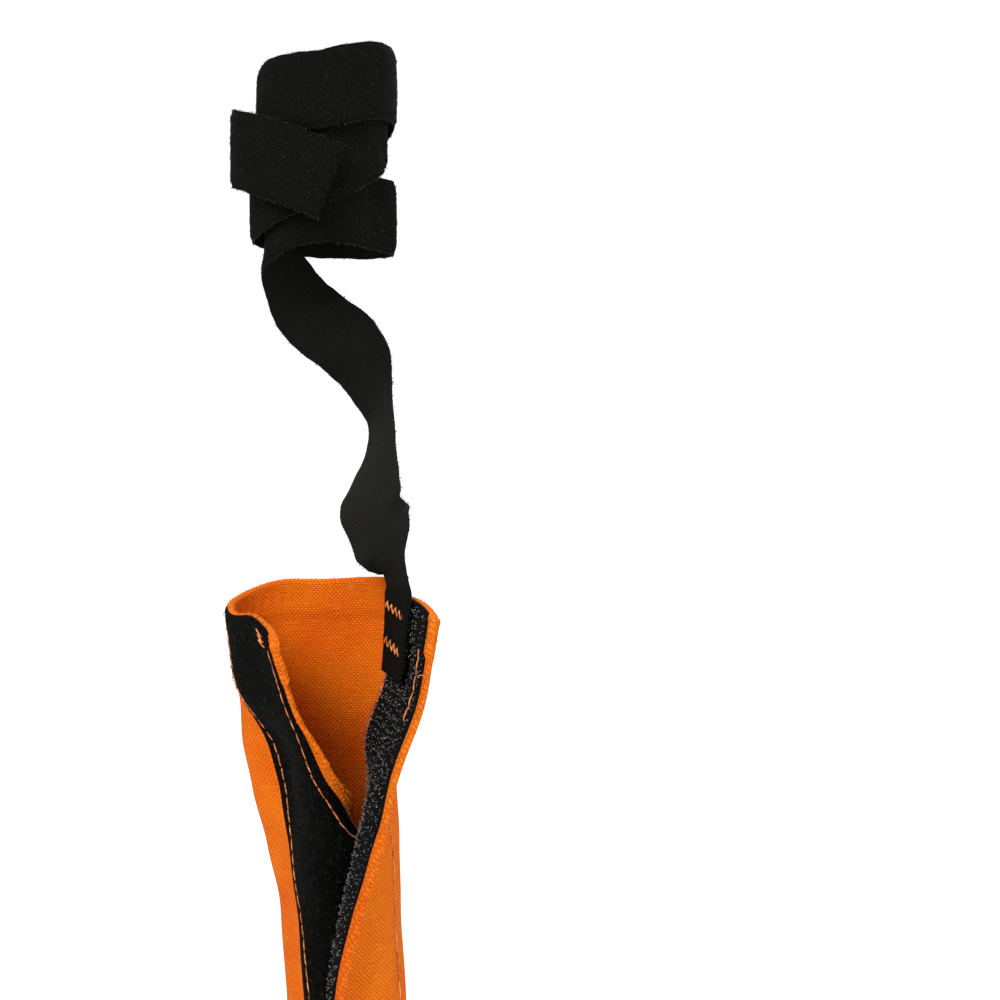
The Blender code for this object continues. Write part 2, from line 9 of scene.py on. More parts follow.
import bmesh
import bpy
import numpy as np
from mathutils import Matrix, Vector


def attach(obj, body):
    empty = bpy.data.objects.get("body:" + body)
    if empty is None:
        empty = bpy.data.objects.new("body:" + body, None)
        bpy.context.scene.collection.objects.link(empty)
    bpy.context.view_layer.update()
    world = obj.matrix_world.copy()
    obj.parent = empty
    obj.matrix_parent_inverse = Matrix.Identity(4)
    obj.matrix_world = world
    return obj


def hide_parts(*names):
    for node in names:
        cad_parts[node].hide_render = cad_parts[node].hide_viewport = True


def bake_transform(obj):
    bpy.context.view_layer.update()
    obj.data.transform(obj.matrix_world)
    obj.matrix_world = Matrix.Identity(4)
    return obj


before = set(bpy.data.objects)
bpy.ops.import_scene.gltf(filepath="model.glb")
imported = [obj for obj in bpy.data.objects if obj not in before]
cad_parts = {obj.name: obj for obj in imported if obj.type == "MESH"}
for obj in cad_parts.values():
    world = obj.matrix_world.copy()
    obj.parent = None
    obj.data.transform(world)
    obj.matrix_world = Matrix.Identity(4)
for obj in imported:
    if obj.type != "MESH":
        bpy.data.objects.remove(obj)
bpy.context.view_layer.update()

# Cloth, tapes and clearance
SLEEVE_LENGTH = 0.500
CANVAS = 0.0010
HEM_EXTRA = 0.0007
HEM_WIDTH = 0.010
TAPE_WIDTH = 0.030
LOOP_TAPE = 0.0014
HOOK_TAPE = 0.0012
GAP = 0.0003
LAYERS = CANVAS + LOOP_TAPE + HOOK_TAPE + 3 * GAP

# The closed sleeve across its width: two faces joined by two tight edges
FACE = 0.0342
EDGE = 0.0100
FLAT_STRIP = 0.0140
FACE_BEND = math.radians(50)
HALF_LOOP = FACE + EDGE
UNDERLAP_MARGIN = 0.0036
OVERLAP_MARGIN = 0.0020
OVERLAP_RUN = 0.0735
UNDERLAP_RUN = FACE / 2 + EDGE + TAPE_WIDTH + UNDERLAP_MARGIN
PANEL_WIDTH = UNDERLAP_RUN + OVERLAP_RUN
FOLD_RUN = 0.0265

# Where the fold line that the overlap turns on lies, in front of the frame's zero
FOLD_Y = -0.0045

# The middle of the channel's lower end, which the object's frame starts from
FRAME_START = Vector((-0.0035, -0.0058, 0))

# The peeled mouth: height, x of the fold line, and how the cloth runs at places round it, in
# degrees from the line of the back, on the left and on the right of the middle of the back
LEFT_PLACES = (0, 0.009, 0.018, 0.0275, 0.036, 0.044, 0.052, UNDERLAP_RUN)
RIGHT_PLACES = (0, 0.009, 0.018, FOLD_RUN, 0.034, 0.0415, 0.049, 0.057, 0.065, OVERLAP_RUN)
MOUTH = (
    (0.384, 0.0172, (30, 69, 112, 130, 179, 224, 257, 287), (-30, -3, 31, 66, 90, 107, 128, 162, 149, 43)),
    (0.415, 0.0156, (18, 74, 123, 111, 149, 220, 248, 272), (-18, 2, 29, 67, 90, 105, 122, 150, 121, 38)),
    (0.431, 0.0149, (-7, 65, 137, 113, 107, 189, 252, 264), (6, 1, 16, 56, 93, 105, 121, 135, 96, 44)),
    (0.447, 0.0140, (-20, 37, 133, 151, 97, 99, 182, 295), (18, 1, 8, 48, 99, 115, 112, 99, 81, 59)),
    (0.461, 0.0128, (-25, 19, 126, 162, 110, 92, 125, 183), (24, 5, 2, 40, 123, 121, 72, 75, 81, 77)),
    (0.479, 0.0138, (-23, 18, 67, 111, 127, 129, 123, 111), (23, 18, 19, 40, 96, 101, 72, 77, 82, 79)),
    (0.500, 0.0134, (-20, 17, 57, 97, 119, 123, 114, 100), (20, 22, 26, 44, 90, 93, 68, 73, 76, 72)),
)
PEEL_TURN = 31
SOFT_ROUND = 0.004
SOFT_UP = 0.006
EDGE_SLACK = 0.5

# Seams, straps and the finely cut table of the cloth
HOOK_LOW = PANEL_WIDTH - OVERLAP_MARGIN - TAPE_WIDTH
ROW_INSET = 0.0028
HEM_ROW = 0.0050
LOOP_ROWS = (UNDERLAP_MARGIN + ROW_INSET, UNDERLAP_MARGIN + TAPE_WIDTH - ROW_INSET)
HOOK_ROWS = (HOOK_LOW + ROW_INSET, HOOK_LOW + TAPE_WIDTH - ROW_INSET)
FOLD = UNDERLAP_RUN + FOLD_RUN
FOLD_STRIP = 0.0060
STRAP_WIDTH = 0.020
STRAP = 0.0016
TOP_ROOT = 0.021
ROOT_INSET = 0.0008
TOP_RISE = 0.0020
BOTTOM_ROOT = 0.026
BOTTOM_EDGE = 0.0004
BOTTOM_STEP = 0.0038
BOTTOM_SLOPE = math.radians(12)
BOTTOM_EXIT = 0.0045
# The tape edge's seam shows among the hooks only above this height
SHOWN_ROW = 0.474
# The top strap's sewn root is pressed flat: its middle, its face and how thin it is
ROOT_DEEP = CANVAS / 2 + HEM_EXTRA + 0.0011
ROOT_FACE = ROOT_DEEP + 0.0006
ROOT_PRESSED = 0.60
CLOTH_STEPS = 250
ROUND_STEPS = 400

# How the closed sleeve loosens and opens: heights and places round it between which each change comes
HALF_REACH = 0.085
ROOT_ROOM = (0.027, 0.052)
LOOSENED = (0.250, 0.372)
SIDE_RISE = (0.008, 0.027)
TURN_FROM = 0.280
OPEN_FROM = 0.340
LEAST_RISE = 0.4

# The cloth's soft ripples: height, run up, lean across and start of each in millimetres, and the run
# and start of the slower wave that it comes and goes with; and between which heights they show
RIPPLES = ((0.34, 19, 0.05, 0.9, 47, 2.1), (0.20, 8.3, -0.16, 0.4, 61, 0.5), (0.10, 3.9, 0.23, 1.7, 29, 0))
RIPPLED = (0.018, 0.060)
CALMED = (0.340, 0.400)
MOUTH_CALM = 0.75

# The winding above the mouth: (turn in degrees from the front, radius, height above the mouth)
WINDING_X = -0.0025
WINDING = (
    (-205, 0.0142, 0.0650), (-160, 0.0146, 0.0740), (-125, 0.0150, 0.0850), (-90, 0.0157, 0.0930),
    (-45, 0.0140, 0.0975), (0, 0.0124, 0.0987), (40, 0.0126, 0.0984), (66, 0.0137, 0.0980),
    (92, 0.0190, 0.0978), (125, 0.0178, 0.0984), (180, 0.0164, 0.0998), (205, 0.0187, 0.1004),
    (225, 0.0190, 0.1008), (250, 0.0196, 0.1011), (270, 0.0196, 0.1016), (315, 0.0169, 0.1048),
    (360, 0.0150, 0.1091), (400, 0.0153, 0.1150), (424, 0.0157, 0.1195), (450, 0.0162, 0.1216),
    (500, 0.0160, 0.1230), (540, 0.0160, 0.1240), (585, 0.0172, 0.1254), (630, 0.0180, 0.1271),
    (675, 0.0186, 0.1275), (720, 0.0184, 0.1276), (765, 0.0188, 0.1312), (810, 0.0190, 0.1326),
    (855, 0.0188, 0.1290), (900, 0.0188, 0.1252), (940, 0.0216, 0.1212), (975, 0.0238, 0.1183),
)
TAIL = (
    (978, 0.0240, 0.1180), (995, 0.0249, 0.1161), (1015, 0.0246, 0.1134), (1048, 0.0222, 0.1082),
    (1086, 0.0212, 0.1024),
)

# The loose end leaves the winding after this turn
LOOSE_FROM = 940
UP = (0.0, 0.0, 1.0)

# The twisted run from the sewn root to the winding: places, and the way the strap's width points
LEAD = (
    ((0.0150, -0.0297, 0.5045), (0.28, -0.96, -0.07)),
    ((0.0142, -0.0262, 0.5095), (0.45, -0.89, -0.03)),
    ((0.0117, -0.0188, 0.5135), (0.63, -0.77, 0.06)),
    ((0.0097, -0.0140, 0.5195), (0.74, -0.66, 0.08)),
    ((0.0108, -0.0080, 0.5275), (0.54, -0.80, 0.20)),
    ((0.0126, -0.0020, 0.5368), (0.34, -0.84, 0.38)),
    ((0.0128, 0.0045, 0.5475), (0.25, -0.65, 0.70)),
    ((0.0090, 0.0100, 0.5580), (0.38, -0.35, 0.85)),
)

# The bottom strap's loose loop, from the overlap's free edge out to the left and back
BOTTOM_LOOP = (
    (-0.0290, -0.0152, 0.0016), (-0.0365, -0.0134, 0.0003), (-0.0430, -0.0088, -0.0006),
    (-0.0455, -0.0020, 0.0000), (-0.0436, 0.0044, 0.0014), (-0.0385, 0.0080, 0.0034),
    (-0.0325, 0.0094, 0.0056), (-0.0275, 0.0096, 0.0072),
)
BOTTOM_LEAN = (-0.21, -0.26, -0.26)

# Distances from a finished edge at which a mesh has a line of points, and its pitch elsewhere
ROW_EDGE = (0, 0.0001, 0.0003, 0.0006, 0.0010, 0.0015, 0.0022)
COLUMN_EDGE = (0, 0.00010, 0.00030, 0.0006, 0.0010, 0.0014, 0.0018, 0.0022, 0.0026, 0.0031)
TAPE_EDGE = np.array([0, 0.0001, 0.0003, 0.0006, 0.0010, 0.0014, 0.0019])
BAND_EDGE = np.array([0, 0.0001, 0.0003, 0.0007, 0.0012, 0.0018])
HEM_ROWS_END = 0.016
FINE_FROM = 0.350
HEM_PITCH = 0.0015
PLAIN_PITCH = 0.0028
FINE_PITCH = 0.0013
TAPE_COLUMNS = 24

# Where the cloth coordinates of a back face start, so that its weave differs from the front's
CANVAS_BACK = (0.4, 0.2)
STRAP_BACK = (0.05, 0.1)

# The canvas's edges in metres, and their piped double ridge in millimetres as (height, place)
PIPING = ((0.34, 0.75), (0.20, 2.2))
PIPING_WIDTH = 0.45
PIPED = (0.0024, 0.0034)
LEAST_SHARE = 0.0004
SIDE_RADIUS = 0.0007
END_RADIUS = 0.0009
HEM_STEP = 0.0009
HEM_OUTSIDE = 0.00018
HEM_ROLL = 0.00025
HEM_ROLL_ROW = 0.0011
HEM_ROLL_WIDTH = 0.0008
SEAM_WIDTH = 0.0016
PULL_FROM = (0.004, 0.008)
PUCKER_PITCH = 3.1

# The tapes: seats, ends, thin woven edges, thickness as sewn, and their rows of hooks
TAPE_SEAT = 0.0001
TAPE_LOW = 0.0004
TAPE_HIGH = SLEEVE_LENGTH - 0.0002
WOVEN_EDGE = 0.0005
WOVEN_STEP = (0.0008, 0.0018)
PRESSED_WIDTH = 0.0009
LOOP_BODY = 0.0009
LOOP_FIELD = 0.0008
HOOK_BODY = 0.00055
PILE_INSET = 0.0021
PILE_SPREAD = 0.35
FIRST_HOOKS = 0.0016
HOOK_PITCH = 0.00150
HOOK_STAGGER = 0.00035

# The straps' bodies, reaches before and after a hinge, their hairs and the seams
STRAP_CUP = 0.00035
BAND_RIM = 0.00042
BAND_STEP = (0.0006, 0.0018)
RAGGED_EDGE = 0.0008
ROOT_BEND = (0.003, 0.004)
TAIL_BEND = (0.004, 0.006)
HAIR_PITCH = 0.00034
FUZZ_PITCH = 0.00042
SEAM_STEP = 0.0011
STITCH_PITCH = 0.0036

# Frayed threads of the free edge: height and first step, how the later steps bend, and a longer end
FRAYED = (
    (0.486, (-0.0012, -0.0008, 0.0008)), (0.481, (-0.0007, -0.0012, -0.0010)),
    (0.0010, (-0.0009, -0.0008, -0.0009)), (0.4985, (-0.0008, -0.0009, 0.0007)),
)
FRAY_BENDS = ((1, 1, 1), (0.8, 1.1, 0.2), (0.4, 0.7, -0.6))
THREAD_END = ((0.0018, -0.0004, -0.0014), (0.0022, -0.0002, -0.0012), (0.0020, 0.0001, -0.0020))

# What a repeating node tree is given, and the sockets of a colour mix node
REPEAT_INPUTS = (
    ("Geometry", "Geometry"), ("Piece", "Object"), ("Pitch", "Float"), ("Lean", "Vector"),
    ("Size Spread", "Float"), ("Seed", "Int"), ("Finish", "Material"),
)
MIX_SHARE, MIX_A, MIX_B, MIX_RESULT = 0, 6, 7, 2
WHITE = (1.0, 1.0, 1.0)
BLACK = (0.0, 0.0, 0.0)


def smooth(value, low, high):
    """0 below low, 1 above high, and a soft ramp between them."""
    part = np.clip((np.asarray(value, float) - low) / (high - low), 0, 1)
    return part * part * (3 - 2 * part)


def nearness(distance, width):
    """1 on a line, and soon nothing more than a width away from it."""
    return np.exp(-((distance / width) ** 2))


def summed(steps):
    """The running total of the steps, from nothing."""
    return np.concatenate([[0], np.cumsum(steps)])


def along(v, *stations):
    """A size that changes up the sleeve, read between its stations with soft ramps."""
    places, values = zip(*stations)
    value = np.full(np.shape(v), float(values[0]))
    for low, high, first, last in zip(places, places[1:], values, values[1:]):
        value = value + (last - first) * smooth(v, low, high)
    return value


def flat_turning(q):
    """How far the closed sleeve has turned at q from the middle of its back."""
    side = (FACE - FLAT_STRIP) / 2
    second_side = FACE / 2 + EDGE
    soft, tight = (side, FACE_BEND / 2), (EDGE, math.pi - FACE_BEND)
    bends = (
        (FLAT_STRIP / 2, soft), (FACE / 2, tight), (second_side, soft),
        (second_side + side + FLAT_STRIP, soft), (HALF_LOOP + FACE / 2, tight),
    )
    return sum(turn / run * np.clip(q - start, 0, run) for start, (run, turn) in bends)


def layer_spacing(v):
    """The overlap's distance outside the underlap, with room for the hem and the strap below."""
    return LAYERS + (HEM_EXTRA + STRAP + GAP) * (1 - smooth(v, *ROOT_ROOM))


def half_section(v, outer):
    """Run and direction of one half of the closed section, from the middle of the back."""
    q = np.linspace(0, HALF_REACH, ROUND_STEPS)
    loose = float(smooth(v, *LOOSENED))
    turning = (1 - loose) * flat_turning(q) + loose * math.pi * q / HALF_LOOP
    if not outer:
        return q, turning
    out = float(layer_spacing(v)) * smooth(q, *SIDE_RISE)
    x = summed(np.cos(turning[:-1]) * np.diff(q)) + out * np.sin(turning)
    y = summed(-np.sin(turning[:-1]) * np.diff(q)) + out * np.cos(turning)
    return summed(np.hypot(np.diff(x), np.diff(y))), np.unwrap(np.arctan2(-np.gradient(y), np.gradient(x)))


def mouth_direction(v, run, places, side):
    """The cloth's direction round the open mouth at height v, read from its stations."""
    heights = [station[0] for station in MOUTH]
    angles = [np.interp(v, heights, column) for column in zip(*(station[side] for station in MOUTH))]
    reach = int(SOFT_ROUND / (run[1] - run[0]))
    padded = np.pad(np.radians(np.interp(run, places, angles)), reach, mode="edge")
    kernel = np.hanning(2 * reach + 3)[1:-1]
    return np.convolve(padded, kernel / kernel.sum(), mode="valid")


def direction_rows(heights):
    """The cloth's direction up and round its left and right halves, blended from closed to open."""
    left = np.linspace(0, UNDERLAP_RUN, ROUND_STEPS)
    right = np.linspace(0, OVERLAP_RUN, ROUND_STEPS)
    halves = ((left, False, 1, LEFT_PLACES, 2), (right, True, -1, RIGHT_PLACES, 3))
    rows = []
    for v in heights:
        turn = math.radians(PEEL_TURN) * smooth(v, TURN_FROM, MOUTH[0][0])
        opened = smooth(v, OPEN_FROM, MOUTH[0][0])
        row = []
        for run, outer, way, places, side in halves:
            closed = np.interp(run, *half_section(v, outer)) + way * turn
            row.append(closed + (mouth_direction(v, run, places, side) - closed) * opened)
        rows.append(np.concatenate(row))
    return left, right, soften_up(np.array(rows), heights[1] - heights[0])


def soften_up(rows, step):
    """The rows averaged over a short height, so that the stations leave no creases."""
    reach = int(round(SOFT_UP / step))
    kernel = np.hanning(2 * reach + 3)[1:-1]
    padded = np.pad(rows, ((reach, reach), (0, 0)), mode="edge")
    shifted = [part * padded[i : i + len(rows)] for i, part in enumerate(kernel / kernel.sum())]
    return np.sum(shifted, axis=0)


def walk(run, direction, side):
    """Where a half section runs from the middle of the back, to the right (1) or to the left (-1)."""
    middle = (direction[1:] + direction[:-1]) / 2
    return summed(side * np.cos(middle) * np.diff(run)), summed(-np.sin(middle) * np.diff(run))


def section(v, left, right, direction):
    """The cloth's x and y round the sleeve at height v, from the underlap's edge to the overlap's."""
    left_x, left_y = walk(left, direction[: len(left)], -1)
    right_x, right_y = walk(right, direction[len(left) :], 1)
    s = np.concatenate([UNDERLAP_RUN - left[::-1], UNDERLAP_RUN + right[1:]])
    x = np.concatenate([left_x[::-1], right_x[1:]])
    y = np.concatenate([left_y[::-1], right_y[1:]])
    fold_x = float(along(v, *(station[:2] for station in MOUTH)))
    x = x + fold_x - np.interp(FOLD, s, x)
    y = y + FOLD_Y - np.interp(FOLD, s, y)
    return s, x, y


def make_cloth():
    """The middle of the canvas as a fine table of points and normals over s and v."""
    v = np.linspace(0, SLEEVE_LENGTH, CLOTH_STEPS + 1)
    s = np.linspace(0, PANEL_WIDTH, ROUND_STEPS)
    points = np.zeros((len(v), len(s), 3))
    left, right, directions = direction_rows(v)
    for row, height in enumerate(v):
        run, x, y = section(height, left, right, directions[row])
        points[row, :, 0] = np.interp(s, run, x)
        points[row, :, 1] = np.interp(s, run, y)
    step = np.diff(v)[:, None]
    sideways = np.sum(np.diff(points[:, :, :2], axis=0) ** 2, axis=2)
    taut = 1 - EDGE_SLACK * smooth(s, FOLD, PANEL_WIDTH)
    rise = np.sqrt(np.maximum(step**2 - taut * sideways, (LEAST_RISE * step) ** 2))
    points[1:, :, 2] = np.cumsum(rise, axis=0)
    across = np.gradient(points, axis=1)
    up = np.gradient(points, axis=0)
    normals = np.cross(up, across)
    normals /= np.linalg.norm(normals, axis=2, keepdims=True)
    return s, v, points, normals


CLOTH = make_cloth()


def cloth_point(s, v, out=0.0):
    """The point out from the canvas's middle at s, v. Both may be arrays of one shape."""
    s_table, v_table, points, normals = CLOTH
    s, v = np.broadcast_arrays(np.asarray(s, float), np.asarray(v, float))
    column = np.interp(s, s_table, np.arange(len(s_table)))
    row = np.interp(v, v_table, np.arange(len(v_table)))
    i = np.minimum(column.astype(int), len(s_table) - 2)
    j = np.minimum(row.astype(int), len(v_table) - 2)
    a, b = (column - i)[..., None], (row - j)[..., None]

    def read(table):
        low = table[j, i] * (1 - a) + table[j, i + 1] * a
        high = table[j + 1, i] * (1 - a) + table[j + 1, i + 1] * a
        return low * (1 - b) + high * b

    normal = read(normals)
    normal = normal / np.linalg.norm(normal, axis=-1, keepdims=True)
    return read(points) + normal * np.asarray(out, float)[..., None]


def spline(points, steps):
    """Catmull-Rom through the points, with the same number of steps between each two."""
    points = np.asarray(points, float)
    ends = np.concatenate([[2 * points[0] - points[1]], points, [2 * points[-1] - points[-2]]])
    found = []
    for a, b, c, d in zip(ends, ends[1:], ends[2:], ends[3:]):
        for step in range(steps):
            t = step / steps
            square = (2 * a - 5 * b + 4 * c - d) * t**2
            cube = (3 * b - a - 3 * c + d) * t**3
            found.append(0.5 * (2 * b + (c - a) * t + square + cube))
    found.append(points[-1])
    return np.array(found)


def unit(vectors):
    return vectors / np.linalg.norm(vectors, axis=-1, keepdims=True)


def ribbon_frame(centres, widths):
    """The strap's width and face directions at each centre, square to its run."""
    runs = unit(np.gradient(centres, axis=0))
    faces = unit(np.cross(runs, widths))
    return np.cross(faces, runs), faces


def winding_points(stations):
    turns, radii, heights = np.array(stations, float).T
    angles = np.radians(turns)
    return np.stack(
        [WINDING_X + radii * np.sin(angles), -radii * np.cos(angles), SLEEVE_LENGTH + heights], axis=1
    )


def lie(s, v, out=0.0):
    """A point of the dressed cloth, in the model's frame: the cloth with its soft ripples."""
    s, v, out = np.broadcast_arrays(*(np.asarray(value, float) for value in (s, v, out)))
    x, z = cloth_point(s, v)[..., 0] * 1000, v * 1000
    ripple = sum(high * np.sin(z / a + b * x + c) * np.sin(z / d + e) for high, a, b, c, d, e in RIPPLES)
    calm = smooth(v, *RIPPLED) * (1 - MOUTH_CALM * smooth(v, *CALMED))
    return cloth_point(s, v, out + 0.001 * ripple * calm) - np.array(FRAME_START)


def ridge(edge):
    """How proud the sewn edge stands at so far from the cloth's own edge: a piped double ridge."""
    return 0.001 * sum(high * nearness(edge * 1000 - place, PIPING_WIDTH) for high, place in PIPING)


def rounding(edge, radius):
    """The share of the cloth's half thickness left at so far from a rounded edge."""
    near = np.clip(1 - np.asarray(edge, float) / radius, 0, 1)
    return np.sqrt(np.maximum(1 - near**2, LEAST_SHARE))


def link(thing):
    bpy.context.scene.collection.objects.link(thing)
    return thing


def keep_fields(mesh, fields):
    """Keep values or vectors for the mesh's points, under their names."""
    for field, values in fields.items():
        kind, key = ("FLOAT_VECTOR", "vector") if np.ndim(values) == 2 else ("FLOAT", "value")
        made = mesh.attributes.new(field, kind, "POINT")
        made.data.foreach_set(key, np.asarray(values, np.float32).ravel())


def mesh_object(name, points, faces, finish, uv=None, fields=None):
    """An object with its place in its mesh, its cloth coordinates in millimetres, and its fields."""
    mesh = bpy.data.meshes.new(name)
    mesh.from_pydata([tuple(point) for point in points], [], faces)
    mesh.materials.append(finish)
    mesh.shade_smooth()
    if uv is not None:
        layer = mesh.uv_layers.new(name="cloth")
        index = np.empty(len(mesh.loops), np.int32)
        mesh.loops.foreach_get("vertex_index", index)
        layer.data.foreach_set("uv", (uv[index] * 1000).astype(np.float32).ravel())
    keep_fields(mesh, fields or {})
    return link(bpy.data.objects.new(name, mesh))


def grid_faces(rows, columns, first=0, flip=False):
    """The faces between the points of a grid, whose numbers start at the first."""
    starts = (first + row * columns + column for row in range(rows - 1) for column in range(columns - 1))
    quads = [(a, a + 1, a + columns + 1, a + columns) for a in starts]
    return [quad[::-1] for quad in quads] if flip else quads


def shell(name, sides, grid, finish, back, fields=None, flip=False):
    """A closed sheet between two grids of points. The cloth coordinates of its back start elsewhere."""
    rows, columns = grid[0].shape
    below = rows * columns
    rim = [*range(columns), *range(2 * columns - 1, below, columns)]
    rim += [*range(below - 2, below - columns - 1, -1), *range(below - 2 * columns, 0, -columns)]
    faces = grid_faces(rows, columns) + grid_faces(rows, columns, below, True)
    faces += [(b, a, a + below, b + below) for a, b in zip(rim, rim[1:] + rim[:1])]
    if flip:
        faces = [face[::-1] for face in faces]
    points = np.concatenate([side.reshape(-1, 3) for side in sides])
    uv = np.stack([part.ravel() for part in grid], axis=1)
    return mesh_object(name, points, faces, finish, np.concatenate([uv, uv + back]), fields)


def closed_sheet(name, s, v, outer, inner, finish, cut=(False, False), fields=None):
    """A sheet between two offsets from the cloth, closed round its rim. A cut side meets another run."""
    grid = np.meshgrid(s, v)
    fields = {key: np.tile(value.ravel(), 2) for key, value in (fields or {}).items()}
    made = shell(name, [lie(*grid, outer), lie(*grid, inner)], grid, finish, CANVAS_BACK, fields)
    for edge in made.data.edges:
        columns = {vertex % len(s) for vertex in edge.vertices}
        if (cut[0] and columns == {0}) or (cut[1] and columns == {len(s) - 1}):
            edge.use_edge_sharp = True
    return made


def cloth_rows(low, high):
    """Heights up the sleeve: coarse where it hangs plain, fine at the peeled mouth and at the hems."""
    rows = [low + step for step in ROW_EDGE]
    rows += list(np.arange(low + 0.004, HEM_ROWS_END, HEM_PITCH))
    rows += list(np.arange(HEM_ROWS_END, FINE_FROM, PLAIN_PITCH))
    rows += list(np.arange(FINE_FROM, high - 0.003, FINE_PITCH))
    return np.array(rows + [high - step for step in ROW_EDGE[::-1]])


def cloth_columns(low, high, soft_low, soft_high):
    """Places round the sleeve, fine by a finished edge and by the seams."""
    start = [low + step for step in COLUMN_EDGE] if soft_low else [low]
    stop = [high - step for step in COLUMN_EDGE[::-1]] if soft_high else [high]
    count = max(2, int(math.ceil((stop[0] - start[-1]) / FINE_PITCH)))
    middle = np.linspace(start[-1], stop[0], count + 1)[1:-1]
    return np.array(start + list(middle) + stop)


def seam_pull(s):
    """How near a place is to a seam that runs up the sleeve, from 0 to 1."""
    return np.max([nearness(s - row, SEAM_WIDTH) for row in LOOP_ROWS + HOOK_ROWS], axis=0)


def canvas_piece(name, low, high, soft_low=False, soft_high=False):
    """One run of the canvas, with rounded hems at its ends and a piped ridge along a finished edge."""
    s, v = cloth_columns(low, high, soft_low, soft_high), cloth_rows(0, SLEEVE_LENGTH)
    grid_s, grid_v = np.meshgrid(s, v)
    ends = np.minimum(grid_v, SLEEVE_LENGTH - grid_v)
    hem = 1 - smooth(ends, HEM_WIDTH, HEM_WIDTH + HEM_STEP)
    side, proud, finished = np.ones(grid_s.shape), np.zeros(grid_s.shape), np.zeros(grid_s.shape)
    if soft_low or soft_high:
        edge = grid_s - low if soft_low else high - grid_s
        side, proud, finished = rounding(edge, SIDE_RADIUS), ridge(edge), 1 - smooth(edge, *PIPED)
    roll = HEM_ROLL * nearness(ends - HEM_ROLL_ROW, HEM_ROLL_WIDTH)
    thick = CANVAS / 2 + proud + HEM_OUTSIDE * hem + roll
    deep = CANVAS / 2 + HEM_EXTRA * hem + 0.5 * proud + roll
    middle = (thick - deep) / 2
    half = (thick + deep) / 2 * side * rounding(ends, END_RADIUS)
    fields = {
        "seam_pull": seam_pull(grid_s) * smooth(ends, *PULL_FROM),
        "hem_pull": nearness(ends - HEM_ROW, SEAM_WIDTH),
        "finished_edge": finished,
    }
    cut = (not soft_low, not soft_high)
    return closed_sheet(name, s, v, middle + half, middle - half, CANVAS_FINISH, cut, fields)


def under_tape(v, outward):
    """How far from the canvas's middle a tape begins. On the inner face it runs over the hems."""
    hem = 1 - smooth(np.minimum(v, SLEEVE_LENGTH - v), HEM_WIDTH, HEM_WIDTH + HEM_STEP)
    return CANVAS / 2 + TAPE_SEAT + (0 if outward else HEM_EXTRA * hem)


def tape_piece(name, low, thick, finish, pile, outward):
    """A sewn tape: a thin woven edge on each side and the body of its pile or hooks between them."""
    high = low + TAPE_WIDTH
    body = np.linspace(low + TAPE_EDGE[-1], high - TAPE_EDGE[-1], TAPE_COLUMNS)
    s = np.unique(np.concatenate([low + TAPE_EDGE, body, high - TAPE_EDGE]).round(6))
    v = cloth_rows(TAPE_LOW, TAPE_HIGH)
    grid_s, grid_v = np.meshgrid(s, v)
    edge = np.minimum(grid_s - low, high - grid_s)
    ends = np.minimum(grid_v - TAPE_LOW, TAPE_HIGH - grid_v)
    rows = (ROW_INSET, TAPE_WIDTH - ROW_INSET)
    seam = np.max([nearness(grid_s - low - row, PRESSED_WIDTH) for row in rows], axis=0)
    woven = WOVEN_EDGE + (thick - WOVEN_EDGE) * smooth(edge, *WOVEN_STEP) * (1 - pile * seam)
    height = woven * rounding(edge, 0.0004) * rounding(ends, 0.0006)
    near = under_tape(grid_v, outward)
    outer, inner = (near + height, near) if outward else (-near, -near - height)
    return closed_sheet(name, s, v, outer, inner, finish)


def path_object(points, outs, runs):
    """A line to repeat pieces along, which knows the way on and the way out at each of its points."""
    mesh = bpy.data.meshes.new("line")
    mesh.from_pydata([tuple(point) for point in points], [(i, i + 1) for i in range(len(points) - 1)], [])
    keep_fields(mesh, {"out": outs, "along": unit(np.gradient(runs, axis=0))})
    return link(bpy.data.objects.new("line", mesh))


def small_tube(name, centres, radii, sides):
    """A little closed tube through the centres, for a thread or one of the small repeated pieces."""
    centres = np.asarray(centres, float)
    runs = unit(np.gradient(centres, axis=0))
    side = unit(np.cross(runs, np.tile([0.0, 1.0, 0.0], (len(runs), 1))))
    up = np.cross(side, runs)
    points, faces = [], []
    for centre, radius, a, b in zip(centres, radii, side, up):
        for angle in (2 * math.pi * step / sides for step in range(sides)):
            points.append(tuple(centre + radius * (math.cos(angle) * a + math.sin(angle) * b)))
    for ring in range(0, len(points) - sides, sides):
        for step in range(sides):
            a, b = ring + step, ring + (step + 1) % sides
            faces.append((a, a + sides, b + sides, b))
    faces += [tuple(range(sides)), tuple(range(len(points) - sides, len(points)))[::-1]]
    mesh = bpy.data.meshes.new(name)
    mesh.from_pydata(points, [], faces)
    work = bmesh.new()
    work.from_mesh(mesh)
    bmesh.ops.recalc_face_normals(work, faces=work.faces)
    work.to_mesh(mesh)
    work.free()
    mesh.shade_smooth()
    return bpy.data.objects.new(name, mesh)


def add(tree, kind, inputs, **settings):
    """A new node's outputs. Each of its inputs is given as a value or as another node's output."""
    made = tree.nodes.new(kind)
    for key, value in settings.items():
        setattr(made, key, value)
    for key, value in inputs.items():
        if isinstance(value, bpy.types.NodeSocket):
            tree.links.new(value, made.inputs[key])
        else:
            made.inputs[key].default_value = value
    return made.outputs


